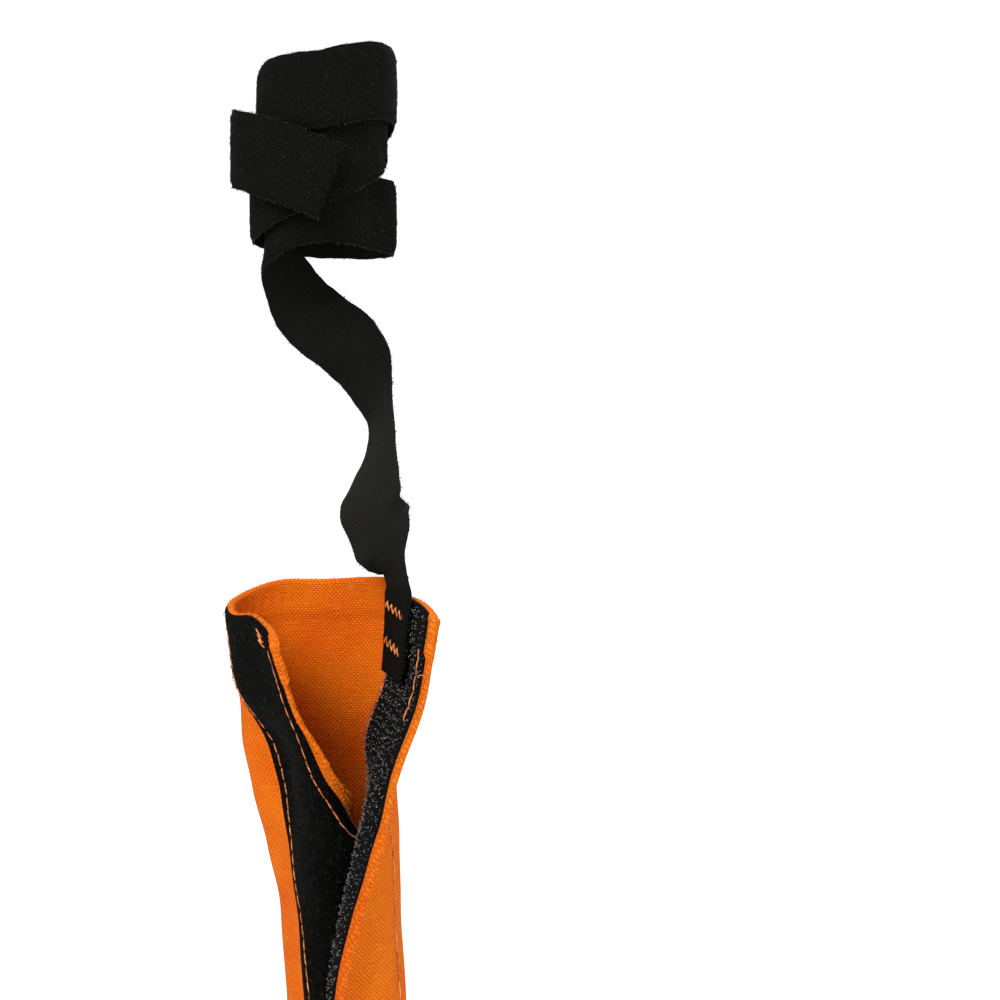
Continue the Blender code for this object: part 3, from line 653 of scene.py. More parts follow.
def repeat_tree(name, source):
    """A node tree that sets copies of a piece along a line, over a surface or on a grid of points."""
    tree = bpy.data.node_groups.new(name, "GeometryNodeTree")
    for label, kind in REPEAT_INPUTS:
        tree.interface.new_socket(label, in_out="INPUT", socket_type=f"NodeSocket{kind}")
    tree.interface.new_socket("Geometry", in_out="OUTPUT", socket_type="NodeSocketGeometry")
    given = tree.nodes.new("NodeGroupInput").outputs
    points, pitch, seed, spread = (given[label] for label in ("Geometry", "Pitch", "Seed", "Size Spread"))
    if source == "surface":
        inputs = {"Mesh": points, "Density": pitch, "Seed": seed}
        scatter = add(tree, "GeometryNodeDistributePointsOnFaces", inputs)
        points, turned = scatter["Points"], scatter["Rotation"]
    else:
        if source == "line":
            curve = add(tree, "GeometryNodeMeshToCurve", {"Mesh": points})[0]
            inputs = {"Curve": curve, "Length": pitch}
            points = add(tree, "GeometryNodeResampleCurve", inputs, mode="LENGTH")[0]
        turned = (0, 0, 0)
        for field, axis, pivot in (("along", "X", "AUTO"), ("out", "Z", "X")):
            way = add(tree, "GeometryNodeInputNamedAttribute", {"Name": field}, data_type="FLOAT_VECTOR")[0]
            inputs = {"Vector": way, "Rotation": turned}
            turned = add(tree, "FunctionNodeAlignRotationToVector", inputs, axis=axis, pivot_axis=pivot)[0]
    lowest = add(tree, "ShaderNodeVectorMath", {0: given["Lean"], "Scale": -1}, operation="SCALE")[0]
    inputs = {0: lowest, 1: given["Lean"], "Seed": seed}
    lean = add(tree, "FunctionNodeRandomValue", inputs, data_type="FLOAT_VECTOR")[0]
    euler = add(tree, "FunctionNodeEulerToRotation", {0: lean})[0]
    turned = add(tree, "FunctionNodeRotateRotation", {0: turned, 1: euler}, rotation_space="LOCAL")[0]
    least = add(tree, "ShaderNodeMath", {0: 1, 1: spread}, operation="SUBTRACT")[0]
    most = add(tree, "ShaderNodeMath", {0: 1, 1: spread}, operation="ADD")[0]
    size = add(tree, "FunctionNodeRandomValue", {2: least, 3: most, "Seed": seed}, data_type="FLOAT")[1]
    shape = add(tree, "GeometryNodeObjectInfo", {"Object": given["Piece"]})["Geometry"]
    inputs = {"Points": points, "Instance": shape, "Rotation": turned, "Scale": size}
    placed = add(tree, "GeometryNodeInstanceOnPoints", inputs)[0]
    real = add(tree, "GeometryNodeRealizeInstances", {0: placed})[0]
    finished = add(tree, "GeometryNodeSetMaterial", {"Geometry": real, "Material": given["Finish"]})[0]
    add(tree, "NodeGroupOutput", {0: finished})
    return tree


def repeated(name, base, tree, piece, finish, pitch, lean, spread, seed):
    """The copies of a piece over a base as one plain mesh. The base goes."""
    change = base.modifiers.new("repeat", "NODES")
    change.node_group = tree
    values = {
        "Piece": piece, "Pitch": pitch, "Lean": tuple(float(turn) for turn in lean),
        "Size Spread": spread, "Seed": seed, "Finish": finish,
    }
    for item in tree.interface.items_tree:
        if item.in_out == "INPUT" and item.name in values:
            change[item.identifier] = values[item.name]
    base.update_tag()
    bpy.context.view_layer.update()
    graph = bpy.context.evaluated_depsgraph_get()
    mesh = bpy.data.meshes.new_from_object(base.evaluated_get(graph))
    mesh.name = name
    mesh.shade_smooth()
    bpy.data.objects.remove(base, do_unlink=True)
    return link(bpy.data.objects.new(name, mesh))


def pile_over(name, points, piece, finish, density, lean, seed):
    """Looped pile scattered over a grid of points, whose faces look outward."""
    faces = grid_faces(*points.shape[:2], 0, True)
    field = mesh_object("field", points.reshape(-1, 3), faces, finish)
    return repeated(name, field, ON_SURFACE, piece, finish, density, lean, PILE_SPREAD, seed)


def joined(name, pieces):
    """Several plain meshes of one finish as one object."""
    work = bmesh.new()
    for piece in pieces:
        work.from_mesh(piece.data)
    mesh = bpy.data.meshes.new(name)
    work.to_mesh(mesh)
    work.free()
    mesh.materials.append(next(finish for finish in pieces[0].data.materials if finish))
    mesh.polygons.foreach_set("material_index", [0] * len(mesh.polygons))
    for piece in pieces:
        bpy.data.objects.remove(piece, do_unlink=True)
    mesh.shade_smooth()
    return link(bpy.data.objects.new(name, mesh))


# Materials

class Finish:
    """A procedural material under construction: short calls for its nodes."""

    def __init__(self, name, roughness, specular):
        self.made = bpy.data.materials.new(name)
        self.made.use_nodes = True
        self.tree = self.made.node_tree
        self.shader = self.tree.nodes["Principled BSDF"]
        self.give("Roughness", roughness)
        self.give("Specular IOR Level", specular)

    def add(self, kind, inputs=None, **settings):
        return add(self.tree, kind, inputs or {}, **settings)

    def give(self, name, value):
        """Set one of the shader's inputs to a value."""
        self.shader.inputs[name].default_value = value

    def drive(self, name, value):
        """Link one of the shader's inputs to another node's output."""
        self.tree.links.new(value, self.shader.inputs[name])

    def cloth(self):
        """The piece's own cloth coordinates, in millimetres."""
        return self.add("ShaderNodeUVMap", uv_map="cloth")["UV"]

    def place(self):
        """Object coordinates in millimetres."""
        place = self.add("ShaderNodeTexCoord")["Object"]
        return self.add("ShaderNodeVectorMath", {0: place, "Scale": 1000}, operation="SCALE")[0]

    def turned(self, vector, angle, scale=(1, 1, 1)):
        return self.add("ShaderNodeMapping", {"Vector": vector, "Rotation": (0, 0, angle), "Scale": scale})[0]

    def field(self, name):
        return self.add("ShaderNodeAttribute", attribute_name=name)["Fac"]

    def math(self, operation, a, b=0.0):
        return self.add("ShaderNodeMath", {0: a, 1: b}, operation=operation)[0]

    def product(self, a, b):
        return self.math("MULTIPLY", a, b)

    def noise(self, vector, size, detail=3.0, rough=0.55):
        """Noise from 0 to 1 whose patches are about so many millimetres."""
        inputs = {"Vector": vector, "Scale": 1 / size, "Detail": detail, "Roughness": rough}
        return self.add("ShaderNodeTexNoise", inputs)["Fac"]

    def bands(self, vector, period, direction="X", distortion=0.0):
        """Soft parallel ridges, so many millimetres apart."""
        inputs = {"Vector": vector, "Scale": 2 * math.pi / 20 / period, "Distortion": distortion}
        inputs.update({"Detail": 1, "Detail Scale": 2})
        return self.add("ShaderNodeTexWave", inputs, wave_type="BANDS", bands_direction=direction)["Fac"]

    def crowns(self, vector, width, height, drift=0.0):
        """The crowns of a plain weave, each row of them half a crown on from the row below."""
        place = self.add("ShaderNodeSeparateXYZ", {0: vector})
        up = self.math("DIVIDE", self.math("ADD", place[1], drift), height)
        turn = self.product(self.math("ADD", place[0], drift), 2 * math.pi / width)
        turn = self.math("ADD", turn, self.product(self.math("FLOOR", up), math.pi))
        crown = self.math("ADD", self.product(self.math("SINE", turn), 0.5), 0.5)
        row = self.math("ABSOLUTE", self.math("SINE", self.product(up, math.pi)))
        return self.product(crown, self.math("POWER", row, 0.6))

    def ramp(self, value, *stops):
        made = self.tree.nodes.new("ShaderNodeValToRGB")
        self.tree.links.new(value, made.inputs["Fac"])
        elements = made.color_ramp.elements
        while len(elements) < len(stops):
            elements.new(0.5)
        for element, (place, colour) in zip(elements, stops):
            element.position = place
            element.color = (*colour, 1)
        return made.outputs["Color"]

    def mix(self, share, a, b, blend="MIX"):
        """The colour a with so large a share of b, which may be a plain colour."""
        b = (*b, 1) if isinstance(b, tuple) else b
        inputs = {MIX_SHARE: share, MIX_A: a, MIX_B: b}
        return self.add("ShaderNodeMix", inputs, data_type="RGBA", blend_type=blend)[MIX_RESULT]

    def shaded(self, share, base, value, *stops):
        """The base multiplied, for a share, by a ramp of the value."""
        return self.mix(share, base, self.ramp(value, *stops), "MULTIPLY")

    def rough(self, value, low, high):
        inputs = {"Value": value, "To Min": low, "To Max": high}
        self.drive("Roughness", self.add("ShaderNodeMapRange", inputs)[0])

    def bump(self, *layers):
        """Relief from (height from 0 to 1, depth in millimetres) layers."""
        below = {}
        for height, depth in layers:
            inputs = {"Strength": 1, "Distance": depth / 1000, "Height": height, **below}
            below = {"Normal": self.add("ShaderNodeBump", inputs)["Normal"]}
        self.drive("Normal", below["Normal"])


def grey(value):
    return (value, value, value)


def scaled(colour, by):
    return tuple(by * part for part in colour)


# How much a strap's back is darkened over its woven grid, by the length from its sewn end in tenths of a
# metre
STRAP_BACK_DARKENING = (
    (10 * TOP_ROOT, grey(0.90)), (10 * TOP_ROOT + 0.03, grey(0.50)),
    (0.55, BLACK), (0.68, BLACK), (0.90, grey(0.60)),
)


def canvas_finish():
    """Orange cotton duck: staggered crowns of yarn with painted shade in the valleys between them, pulled in
    at its seams, ribbed on its finished edges with painted shade between the ribs.
    """
    f = Finish("orange_canvas", 0.85, 0.08)
    cloth = f.cloth()
    crowns = f.crowns(cloth, 1.20, 0.60, f.product(f.noise(cloth, 5.0, 2), 0.7))
    slub = f.noise(f.turned(cloth, 0, (0.22, 1.6, 1)), 1.1, 3)
    lint = f.noise(cloth, 0.34, 3, 0.7)
    patches = f.noise(cloth, 26, 4)
    mottle = f.noise(cloth, 2.4, 4, 0.65)
    orange = ((0.30, (0.82, 0.163, 0.004)), (0.50, (0.89, 0.226, 0.006)), (0.72, (0.94, 0.294, 0.012)))
    base = f.ramp(patches, *orange)
    base = f.shaded(0.45, base, mottle, (0.25, (0.84, 0.68, 0.60)), (0.75, WHITE))
    # Painted shade: the valleys between the crowns of yarn are darkened
    base = f.shaded(0.80, base, crowns, (0.04, (0.70, 0.33, 0.14)), (0.45, (0.95, 0.83, 0.70)), (0.85, WHITE))
    base = f.shaded(0.30, base, lint, (0.30, (0.84, 0.64, 0.52)), (0.60, WHITE))
    thick_yarn = f.ramp(slub, (0.55, BLACK), (0.80, WHITE))
    base = f.mix(f.product(thick_yarn, 0.25), base, (1.0, 0.42, 0.09))
    finished, pull = f.field("finished_edge"), f.field("seam_pull")
    ribs = f.product(f.bands(cloth, 0.95, "Y", 1.0), finished)
    # Painted shade: the finished edge is darkened in the grooves between its ribs
    base = f.mix(f.product(f.math("SUBTRACT", finished, ribs), 0.32), base, (0.62, 0.085, 0.003))
    f.drive("Base Color", base)
    f.rough(mottle, 0.78, 0.95)
    puckers = f.product(pull, f.bands(cloth, PUCKER_PITCH, "Y"))
    across = f.product(f.field("hem_pull"), f.bands(cloth, PUCKER_PITCH))
    f.bump(
        (f.math("SUBTRACT", 1.0, pull), 0.30), (puckers, 0.35), (across, 0.30),
        (mottle, 0.10), (crowns, 0.26), (ribs, 0.16), (slub, 0.06), (lint, 0.05),
    )
    f.give("Sheen Weight", 0.02)
    f.give("Sheen Roughness", 0.5)
    f.give("Sheen Tint", (1.0, 0.62, 0.35, 1))
    return f.made


def tape_finish(name, dark, pale, share, woven=None, grain=0.24):
    """The woven ground of a black tape, with single paler fibres. A strap's back shows its weave plainly."""
    f = Finish(name, 0.90, 0.04)
    cloth = f.cloth()
    ground = f.crowns(cloth, 0.85, 0.44)
    fibres = f.noise(f.turned(cloth, 0.5, (1.0, 0.30, 1)), grain, 4, 0.75)
    lint = f.noise(cloth, 7, 3)
    base = f.ramp(fibres, (0.30, dark), (0.58, scaled(dark, 1.7)), (0.66 + 0.1 * (1 - share), pale))
    base = f.shaded(0.5, base, lint, (0.30, grey(0.55)), (0.75, WHITE))
    if woven:
        place = f.add("ShaderNodeSeparateXYZ", {0: cloth})
        back = f.math("GREATER_THAN", place[0], 1000 * STRAP_WIDTH)
        far = f.product(f.math("SUBTRACT", place[1], 1000 * STRAP_BACK[1]), 0.01)
        grid = f.ramp(ground, (0.10, scaled(woven, 0.22)), (0.60, woven))
        grid = f.mix(f.ramp(far, *STRAP_BACK_DARKENING), grid, dark)
        base = f.mix(back, base, f.shaded(0.5, grid, lint, (0.30, grey(0.60)), (0.75, WHITE)))
    f.drive("Base Color", base)
    f.rough(fibres, 0.80, 0.98)
    f.bump((lint, 0.15), (fibres, 0.18), (ground, 0.12))
    return f.made


def fibre_finish(name, dark, pale, roughness, specular, size=0.9, place=0.70, first=0.34):
    """Single fibres, each patch of them a little lighter or darker. On the hooks the pale patches are painted
    glints.
    """
    f = Finish(name, roughness, specular)
    patches = f.noise(f.place(), size, 3, 0.7)
    f.drive("Base Color", f.ramp(patches, (first, dark), (place, pale)))
    f.rough(patches, roughness - 0.08, min(1.0, roughness + 0.10))
    return f.made


def thread_finish():
    """Light orange thread with the twist of its plies, with painted shade in the grooves of the twist and in
    random patches that stand for the thread sinking into a tape.
    """
    f = Finish("orange_thread", 0.60, 0.35)
    place = f.place()
    twist = f.bands(f.turned(place, 0.8), 0.34, "Z", 0.4)
    # Painted shade: random darker patches stand for the thread sinking into a tape, and the twist's grooves
    # are darkened
    shade = f.noise(place, 2.2, 2)
    base = f.ramp(shade, (0.36, (0.42, 0.11, 0.025)), (0.52, (0.85, 0.27, 0.065)), (0.68, (1.0, 0.45, 0.15)))
    f.drive("Base Color", f.shaded(0.60, base, twist, (0.10, (0.62, 0.52, 0.44)), (0.65, WHITE)))
    f.bump((twist, 0.05))
    return f.made


def backdrop_finish():
    """A pale ground that shows as white and still takes the object's shadow."""
    f = Finish("pale_backdrop", 0.9, 0.1)
    paint = f.noise(f.place(), 400, 2)
    f.drive("Base Color", f.ramp(paint, (0.0, grey(0.80)), (1.0, grey(0.84))))
    rays = f.add("ShaderNodeLightPath")
    mirrored = f.math("MAXIMUM", rays["Is Glossy Ray"], rays["Is Transmission Ray"])
    seen = f.math("MAXIMUM", rays["Is Camera Ray"], mirrored)
    glow = f.add("ShaderNodeEmission", {"Color": (*WHITE, 1), "Strength": f.product(seen, 0.55)})[0]
    both = f.add("ShaderNodeAddShader", {0: f.shader.outputs[0], 1: glow})[0]
    f.tree.links.new(both, f.tree.nodes["Material Output"].inputs["Surface"])
    return f.made


def strap_line(centres, widths, slack=0.0):
    """A strap's even run: places, the way across it, the way out of its pile side, and its length so far."""
    across, out = ribbon_frame(centres, widths)
    length = summed(np.linalg.norm(np.diff(centres, axis=0), axis=1))
    wave = slack * (np.sin(length * 1000 / 7.3 + 0.6) + 0.6 * np.sin(length * 1000 / 3.1 + 2.0))
    return centres + out * wave[:, None], across, out, length


def strap_points(line, w, out):
    """Points at each station of a strap, w across it from its middle and so far out of it."""
    centres, across, ways = (part[:, None] for part in line[:3])
    cup = -STRAP_CUP * (w / (STRAP_WIDTH / 2)) ** 2
    return centres + across * w[..., None] + ways * (out + cup)[..., None]


def strap_piece(name, line, pressed=1.0):
    """The strap's body: thin woven edges, a thicker middle, and rounded rims. It is thinner where pressed."""
    length = line[3]
    half = STRAP_WIDTH / 2
    middle = np.linspace(-half + 0.0030, half - 0.0030, 9)
    w = np.concatenate([-half + BAND_EDGE, middle, half - BAND_EDGE[::-1]])
    edge = half - np.abs(w)
    thick = (BAND_RIM + (STRAP / 2 - BAND_RIM) * smooth(edge, *BAND_STEP)) * rounding(edge, 0.00035)
    end = rounding(np.minimum(length, length[-1] - length), 0.0005) * pressed
    ragged = 0.00012 * np.sin(length * 1000 / 1.9 + 1.0) + 0.00010 * np.sin(length * 1000 / 0.83)
    across = w + ragged[:, None] * (edge < RAGGED_EDGE)
    out = thick * end[:, None]
    sides = [strap_points(line, across, out), strap_points(line, across, -out)]
    return shell(name, sides, np.meshgrid(w, length), STRAP_GROUND, STRAP_BACK, flip=True)


def band(name, line, density, seeds, pressed=1.0, first=0):
    """A strap's body, the looped pile on its face from one station on, and the fine hairs of its edges."""
    body = strap_piece(f"{name}_band", line, pressed)
    w = np.linspace(-STRAP_WIDTH / 2 + 0.0011, STRAP_WIDTH / 2 - 0.0011, 5)
    points = strap_points([part[first:] for part in line], w, STRAP / 2 - 0.0002)
    pile = pile_over(f"{name}_pile", points, CURL, STRAP_FIBRE, density, (0.5, 0.5, math.pi), seeds[0])
    hairs = []
    for side in (-1, 1):
        points = strap_points(line, np.array([side * (STRAP_WIDTH / 2 - 0.0002)]), 0.0002)[:, 0]
        base = path_object(points, side * line[1], line[0])
        looks = HAIR_FIBRE, HAIR_PITCH, (0.9, 0.9, 1.2), 0.55
        hairs.append(repeated(name, base, ON_LINE, HAIR, *looks, seeds[1] + side))
    return body, pile, joined(f"{name}_edge_fibres", hairs)


def seam(s, v, out, turn, seed):
    """A row of stitches on the cloth along s, v, on its outer (1) or its inner face (-1)."""
    s, v = np.broadcast_arrays(s, v)
    points = lie(s, v, turn * out)
    base = path_object(points, unit(lie(s, v, turn * (out + 0.001)) - points), points)
    return repeated("row", base, ON_LINE, STITCH, THREAD_FINISH, STITCH_PITCH, (0.03, 0.04, 0.09), 0.08, seed)


def zigzag(middle, size, out, turn, legs, upright=False, slope=0.0):
    """A bar tack: one thread sewn to and fro, as a low tube on the cloth, whose run may slope."""
    ticks = np.linspace(-0.5, 0.5, legs + 1)
    swing = np.where(np.arange(legs + 1) % 2 == 0, -0.5, 0.5)
    fine = np.linspace(0, legs, legs * 8 + 1)
    s = np.interp(fine, range(legs + 1), middle[0] + (swing if upright else ticks) * size[0])
    v = np.interp(fine, range(legs + 1), middle[1] + (ticks if upright else swing) * size[1])
    lift = out + 0.00016 * np.sin(np.pi * (fine % 1))
    return tube("tack", lie(s, v - slope * (s - middle[0]), turn * lift), 0.00019, THREAD_FINISH)


def tube(name, centres, radius, finish, sides=6):
    """A thread of even thickness through the centres, with closed ends."""
    made = small_tube(name, centres, np.full(len(centres), radius), sides)
    made.data.materials.append(finish)
    return link(made)


def loose_thread(start, steps, radius, finish):
    """A frayed thread: from its start by short bent steps."""
    points = start + np.concatenate([[(0, 0, 0)], np.cumsum(steps, axis=0)])
    return tube("fray", spline(points, 5), radius, finish, 5)


def small_piece(name, outline, radii, sides=3):
    """One of the small repeated pieces, from places in its x-z plane in millimetres."""
    return small_tube(name, [(x / 1000, 0, z / 1000) for x, z in outline], radii, sides)


# The finishes and the small repeated pieces

CANVAS_FINISH = canvas_finish()
LOOP_GROUND = tape_finish(
    "loop_tape_ground", (0.0010, 0.0010, 0.0008), (0.024, 0.024, 0.020), 0.9, grain=0.60
)
HOOK_GROUND = tape_finish("hook_tape_ground", grey(0.0030), grey(0.016), 0.3)
STRAP_GROUND = tape_finish(
    "strap_ground", (0.0028, 0.0028, 0.0025), (0.030, 0.030, 0.028), 0.6, (0.026, 0.026, 0.022)
)
LOOP_FIBRE = fibre_finish(
    "loop_pile_fibre", (0.0008, 0.0008, 0.0007), (0.040, 0.040, 0.036), 0.92, 0.02, 1.7, 0.74
)
# The hooks' pale patches are painted glints on black hooks
HOOK_FIBRE_WITH_GLINTS = fibre_finish("hook_fibre_painted_glints", grey(0.0030), (0.560, 0.550, 0.535), 0.24, 0.50, 0.36, 0.72, 0.50)
STRAP_FIBRE = fibre_finish(
    "strap_pile_fibre", (0.0012, 0.0012, 0.0010), (0.038, 0.038, 0.033), 0.92, 0.02, 1.3, 0.66
)
HAIR_FIBRE = fibre_finish("strap_edge_fibre", (0.012, 0.012, 0.011), (0.060, 0.060, 0.054), 0.85, 0.1)
ORANGE_FIBRE = fibre_finish("canvas_edge_fibre", (0.86, 0.17, 0.012), (1.0, 0.36, 0.06), 0.85, 0.1)
THREAD_FINISH = thread_finish()

STITCH = small_piece(
    "stitch",
    ((-1.85, -0.27), (-1.60, -0.05), (-0.8, 0.04), (0, 0.07), (0.8, 0.04), (1.60, -0.05), (1.85, -0.27)),
    (0.00010, 0.00016, 0.00019, 0.00021, 0.00019, 0.00016, 0.00010), 5,
)
LOOP = small_piece("loop", ((-0.35, 0), (-0.42, 0.36), (0, 0.62), (0.42, 0.36), (0.35, 0)), (0.00007,) * 5)
CURL = small_piece("curl", ((-0.30, 0), (-0.22, 0.28), (0.12, 0.36), (0.34, 0.02)), (0.00007,) * 4)
HOOK = small_piece(
    "hook", ((0, 0), (0, 0.48), (0.22, 0.78), (0.56, 0.60)), (0.00011, 0.00010, 0.00010, 0.00007)
)
HAIR = small_piece("hair", ((0, -0.1), (0.06, 0.30), (0.16, 0.62)), (0.00006, 0.00005, 0.00003))
ON_LINE = repeat_tree("pieces_along_a_line", "line")
ON_POINTS = repeat_tree("pieces_on_a_grid", "points")
ON_SURFACE = repeat_tree("pieces_over_a_surface", "surface")


# The sleeve

def sleeve():
    """The canvas in its three runs, whose middle one lies over the fold."""
    back = canvas_piece("canvas_back", 0, FOLD - FOLD_STRIP, soft_low=True)
    fold = canvas_piece("canvas_fold", FOLD - FOLD_STRIP, FOLD + FOLD_STRIP)
    overlap = canvas_piece("canvas_overlap", FOLD + FOLD_STRIP, PANEL_WIDTH, soft_high=True)
    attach(back, "sleeve")
    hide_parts("back_panel")
    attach(overlap, "flap")
    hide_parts("overlap_flap")
    bend_at_fold(fold)
    return back, fold, overlap


def bend_at_fold(piece):
    start = lie(FOLD - FOLD_STRIP, 0.15)
    end = lie(FOLD + FOLD_STRIP, 0.15)
    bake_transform(piece)


def loop_tape():
    """The loop tape on the underlap's outer face, with its pile."""
    low, high = UNDERLAP_MARGIN + PILE_INSET, UNDERLAP_MARGIN + TAPE_WIDTH - PILE_INSET
    ground = tape_piece("loop_tape_ground", UNDERLAP_MARGIN, LOOP_BODY, LOOP_GROUND, 0.4, True)
    grid = np.meshgrid(np.linspace(low, high, 20), np.linspace(0.0012, SLEEVE_LENGTH - 0.0010, 140))
    points = lie(*grid, CANVAS / 2 + LOOP_FIELD)
    pile = pile_over("loop_tape_pile", points, LOOP, LOOP_FIBRE, 400000, (0.6, 0.6, math.pi), 11)
    for piece in (ground, pile):
        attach(piece, "sleeve")
        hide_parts("loop_tape")


def hook_tape():
    """The hook tape on the overlap's inner face, with rows of hooks that leave its sewn parts free."""
    ground = tape_piece("hook_tape_ground", HOOK_LOW, HOOK_BODY, HOOK_GROUND, 0.0, False)
    s = np.linspace(HOOK_LOW + 0.0011, HOOK_LOW + TAPE_WIDTH - 0.0002, 27)
    v = np.arange(FIRST_HOOKS, SLEEVE_LENGTH - 0.0012, HOOK_PITCH)
    grid_s, grid_v = np.meshgrid(s, v)
    grid_v = grid_v + HOOK_STAGGER * (np.arange(len(s)) % 2)[None, :]
    chance = np.random.default_rng(8)
    grid_s = grid_s + chance.normal(0, 0.00018, grid_s.shape)
    grid_v = np.clip(grid_v + chance.normal(0, 0.00028, grid_v.shape), 0.0012, SLEEVE_LENGTH - 0.0008)
    sewn = (np.abs(grid_s - HOOK_ROWS[1]) < 0.0009) & (grid_v > SHOWN_ROW)
    beside_root = grid_s < HOOK_LOW + ROOT_INSET + STRAP_WIDTH + 0.0004
    top_root = beside_root & (grid_v > SLEEVE_LENGTH - TOP_ROOT)
    slope = BOTTOM_EXIT + (PANEL_WIDTH - grid_s) * math.tan(BOTTOM_SLOPE)
    beside_slope = np.abs(grid_v - slope) < STRAP_WIDTH / 2 + 0.0004
    bottom_root = (grid_s > PANEL_WIDTH - BOTTOM_ROOT - 0.002) & beside_slope
    rest = ~(sewn | top_root | bottom_root)
    s, v = grid_s[rest], grid_v[rest]
    depth = -(under_tape(v, False) + 0.00045)
    points = lie(s, v, depth)
    ways = unit(lie(s, v, depth - 0.001) - points)
    up = unit(lie(s, np.minimum(v + 0.001, SLEEVE_LENGTH), depth) - lie(s, v - 0.001, depth))
    up[np.round((v - FIRST_HOOKS) / HOOK_PITCH).astype(int) % 2 == 1] *= -1
    field = mesh_object("field", points, [], HOOK_FIBRE_WITH_GLINTS, fields={"out": ways, "along": up})
    hooks = repeated("hook_tape_hooks", field, ON_POINTS, HOOK, HOOK_FIBRE_WITH_GLINTS, 0.0, (0.45, 0.40, 0.80), 0.28, 21)
    for piece in (ground, hooks):
        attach(piece, "flap")
        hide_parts("hook_tape")


def seams():
    """Every row of stitches, on the face that shows it, for each of the two bodies and the fold."""
    v = np.arange(HEM_ROW + 0.0015, SLEEVE_LENGTH - HEM_ROW - 0.0015, SEAM_STEP)
    face, tape_face = CANVAS / 2 + 0.00012, CANVAS / 2 + 0.00082
    at_sleeve, at_flap, at_fold = [], [], []
    for number, row in enumerate(LOOP_ROWS):
        at_sleeve.append(seam(row, v, tape_face, 1, 30 + number))
        at_sleeve.append(seam(row, v, face, -1, 40 + number))
    for number, row in enumerate(HOOK_ROWS):
        wander = 0.00035 * np.sin(v * 1000 / 31 + number) + 0.0002 * np.sin(v * 1000 / 11 + 2 * number)
        shown = v > SHOWN_ROW
        at_flap.append(seam(row + wander, v, face, 1, 50 + number))
        at_flap.append(seam(row + wander[shown], v[shown], tape_face, -1, 60 + number))
    runs = (
        (at_sleeve, UNDERLAP_MARGIN + TAPE_WIDTH + 0.0012, FOLD - FOLD_STRIP),
        (at_fold, FOLD - FOLD_STRIP, FOLD + FOLD_STRIP),
        (at_flap, FOLD + FOLD_STRIP, PANEL_WIDTH - 0.0012),
    )
    for row in (HEM_ROW, SLEEVE_LENGTH - HEM_ROW):
        for group, first, last in runs:
            s = np.linspace(first, last, 1 + int((last - first) / SEAM_STEP))
            group.append(seam(s, row, face + 0.0002, 1, 70))
    knot = (LOOP_ROWS[0] + 0.0024, SLEEVE_LENGTH - 0.0034)
    at_sleeve.append(zigzag(knot, (0.0036, 0.0032), tape_face + 0.0005, 1, 5, True))
    stitches = joined("sleeve_stitches", at_sleeve)
    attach(stitches, "sleeve")
    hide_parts("loop_seam_edge", "loop_seam_fold", "top_hem_seam_back", "bottom_hem_seam_back")
    flap = joined("overlap_stitches", at_flap)
    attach(flap, "flap")
    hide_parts("hook_seam_edge", "hook_seam_fold", "top_hem_seam_flap", "bottom_hem_seam_flap")
    fold = joined("fold_stitches", at_fold)
    bend_at_fold(fold)


def tacks():
    """The bar tacks that hold the straps' sewn roots, and the one beside the lower free edge."""
    middle = HOOK_LOW + ROOT_INSET + STRAP_WIDTH / 2
    outside = CANVAS / 2 + 0.0001
    made = joined("strap_bar_tacks", [
        zigzag((middle, SLEEVE_LENGTH - 0.0042), (0.0142, 0.0020), ROOT_FACE, -1, 10, slope=0.17),
        zigzag((middle, SLEEVE_LENGTH - 0.0132), (0.0130, 0.0022), ROOT_FACE, -1, 9, slope=0.19),
        zigzag((middle, SLEEVE_LENGTH - 0.0145), (0.0150, 0.0030), outside, 1, 22),
        zigzag((PANEL_WIDTH - 0.0078, 0.0125), (0.0030, 0.0120), outside, 1, 18, True),
    ])
    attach(made, "flap")
    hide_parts("top_strap_tack_upper", "top_strap_tack_lower", "bottom_strap_tack")


def top_strap_stations():
    """The top strap's line as far as its winding: its sewn root on the cloth and its twisted run."""
    middle = HOOK_LOW + ROOT_INSET + STRAP_WIDTH / 2
    rim = SLEEVE_LENGTH - 0.0004
    heights = np.linspace(SLEEVE_LENGTH - TOP_ROOT, rim, 5)
    depth = np.full(5, -ROOT_DEEP)
    root, left, right = (cloth_point(middle + side * STRAP_WIDTH, heights, depth) for side in (0, -0.5, 0.5))
    across = unit(right - left)
    way = unit(cloth_point(middle, rim, -ROOT_DEEP) - cloth_point(middle, SLEEVE_LENGTH - 0.006, -ROOT_DEEP))
    places, ways = zip(*LEAD)
    points = [*root, root[-1] + way * TOP_RISE, *np.array(places)]
    return points, [*across, across[-1], *unit(np.array(ways))], root[-1], way


def bend_strap(pieces, bodies, place, way, reach, *nodes):
    """Bake a strap's pieces where they lie and hide the parts that they stand for."""
    for piece in pieces:
        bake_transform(piece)
        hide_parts(*nodes)


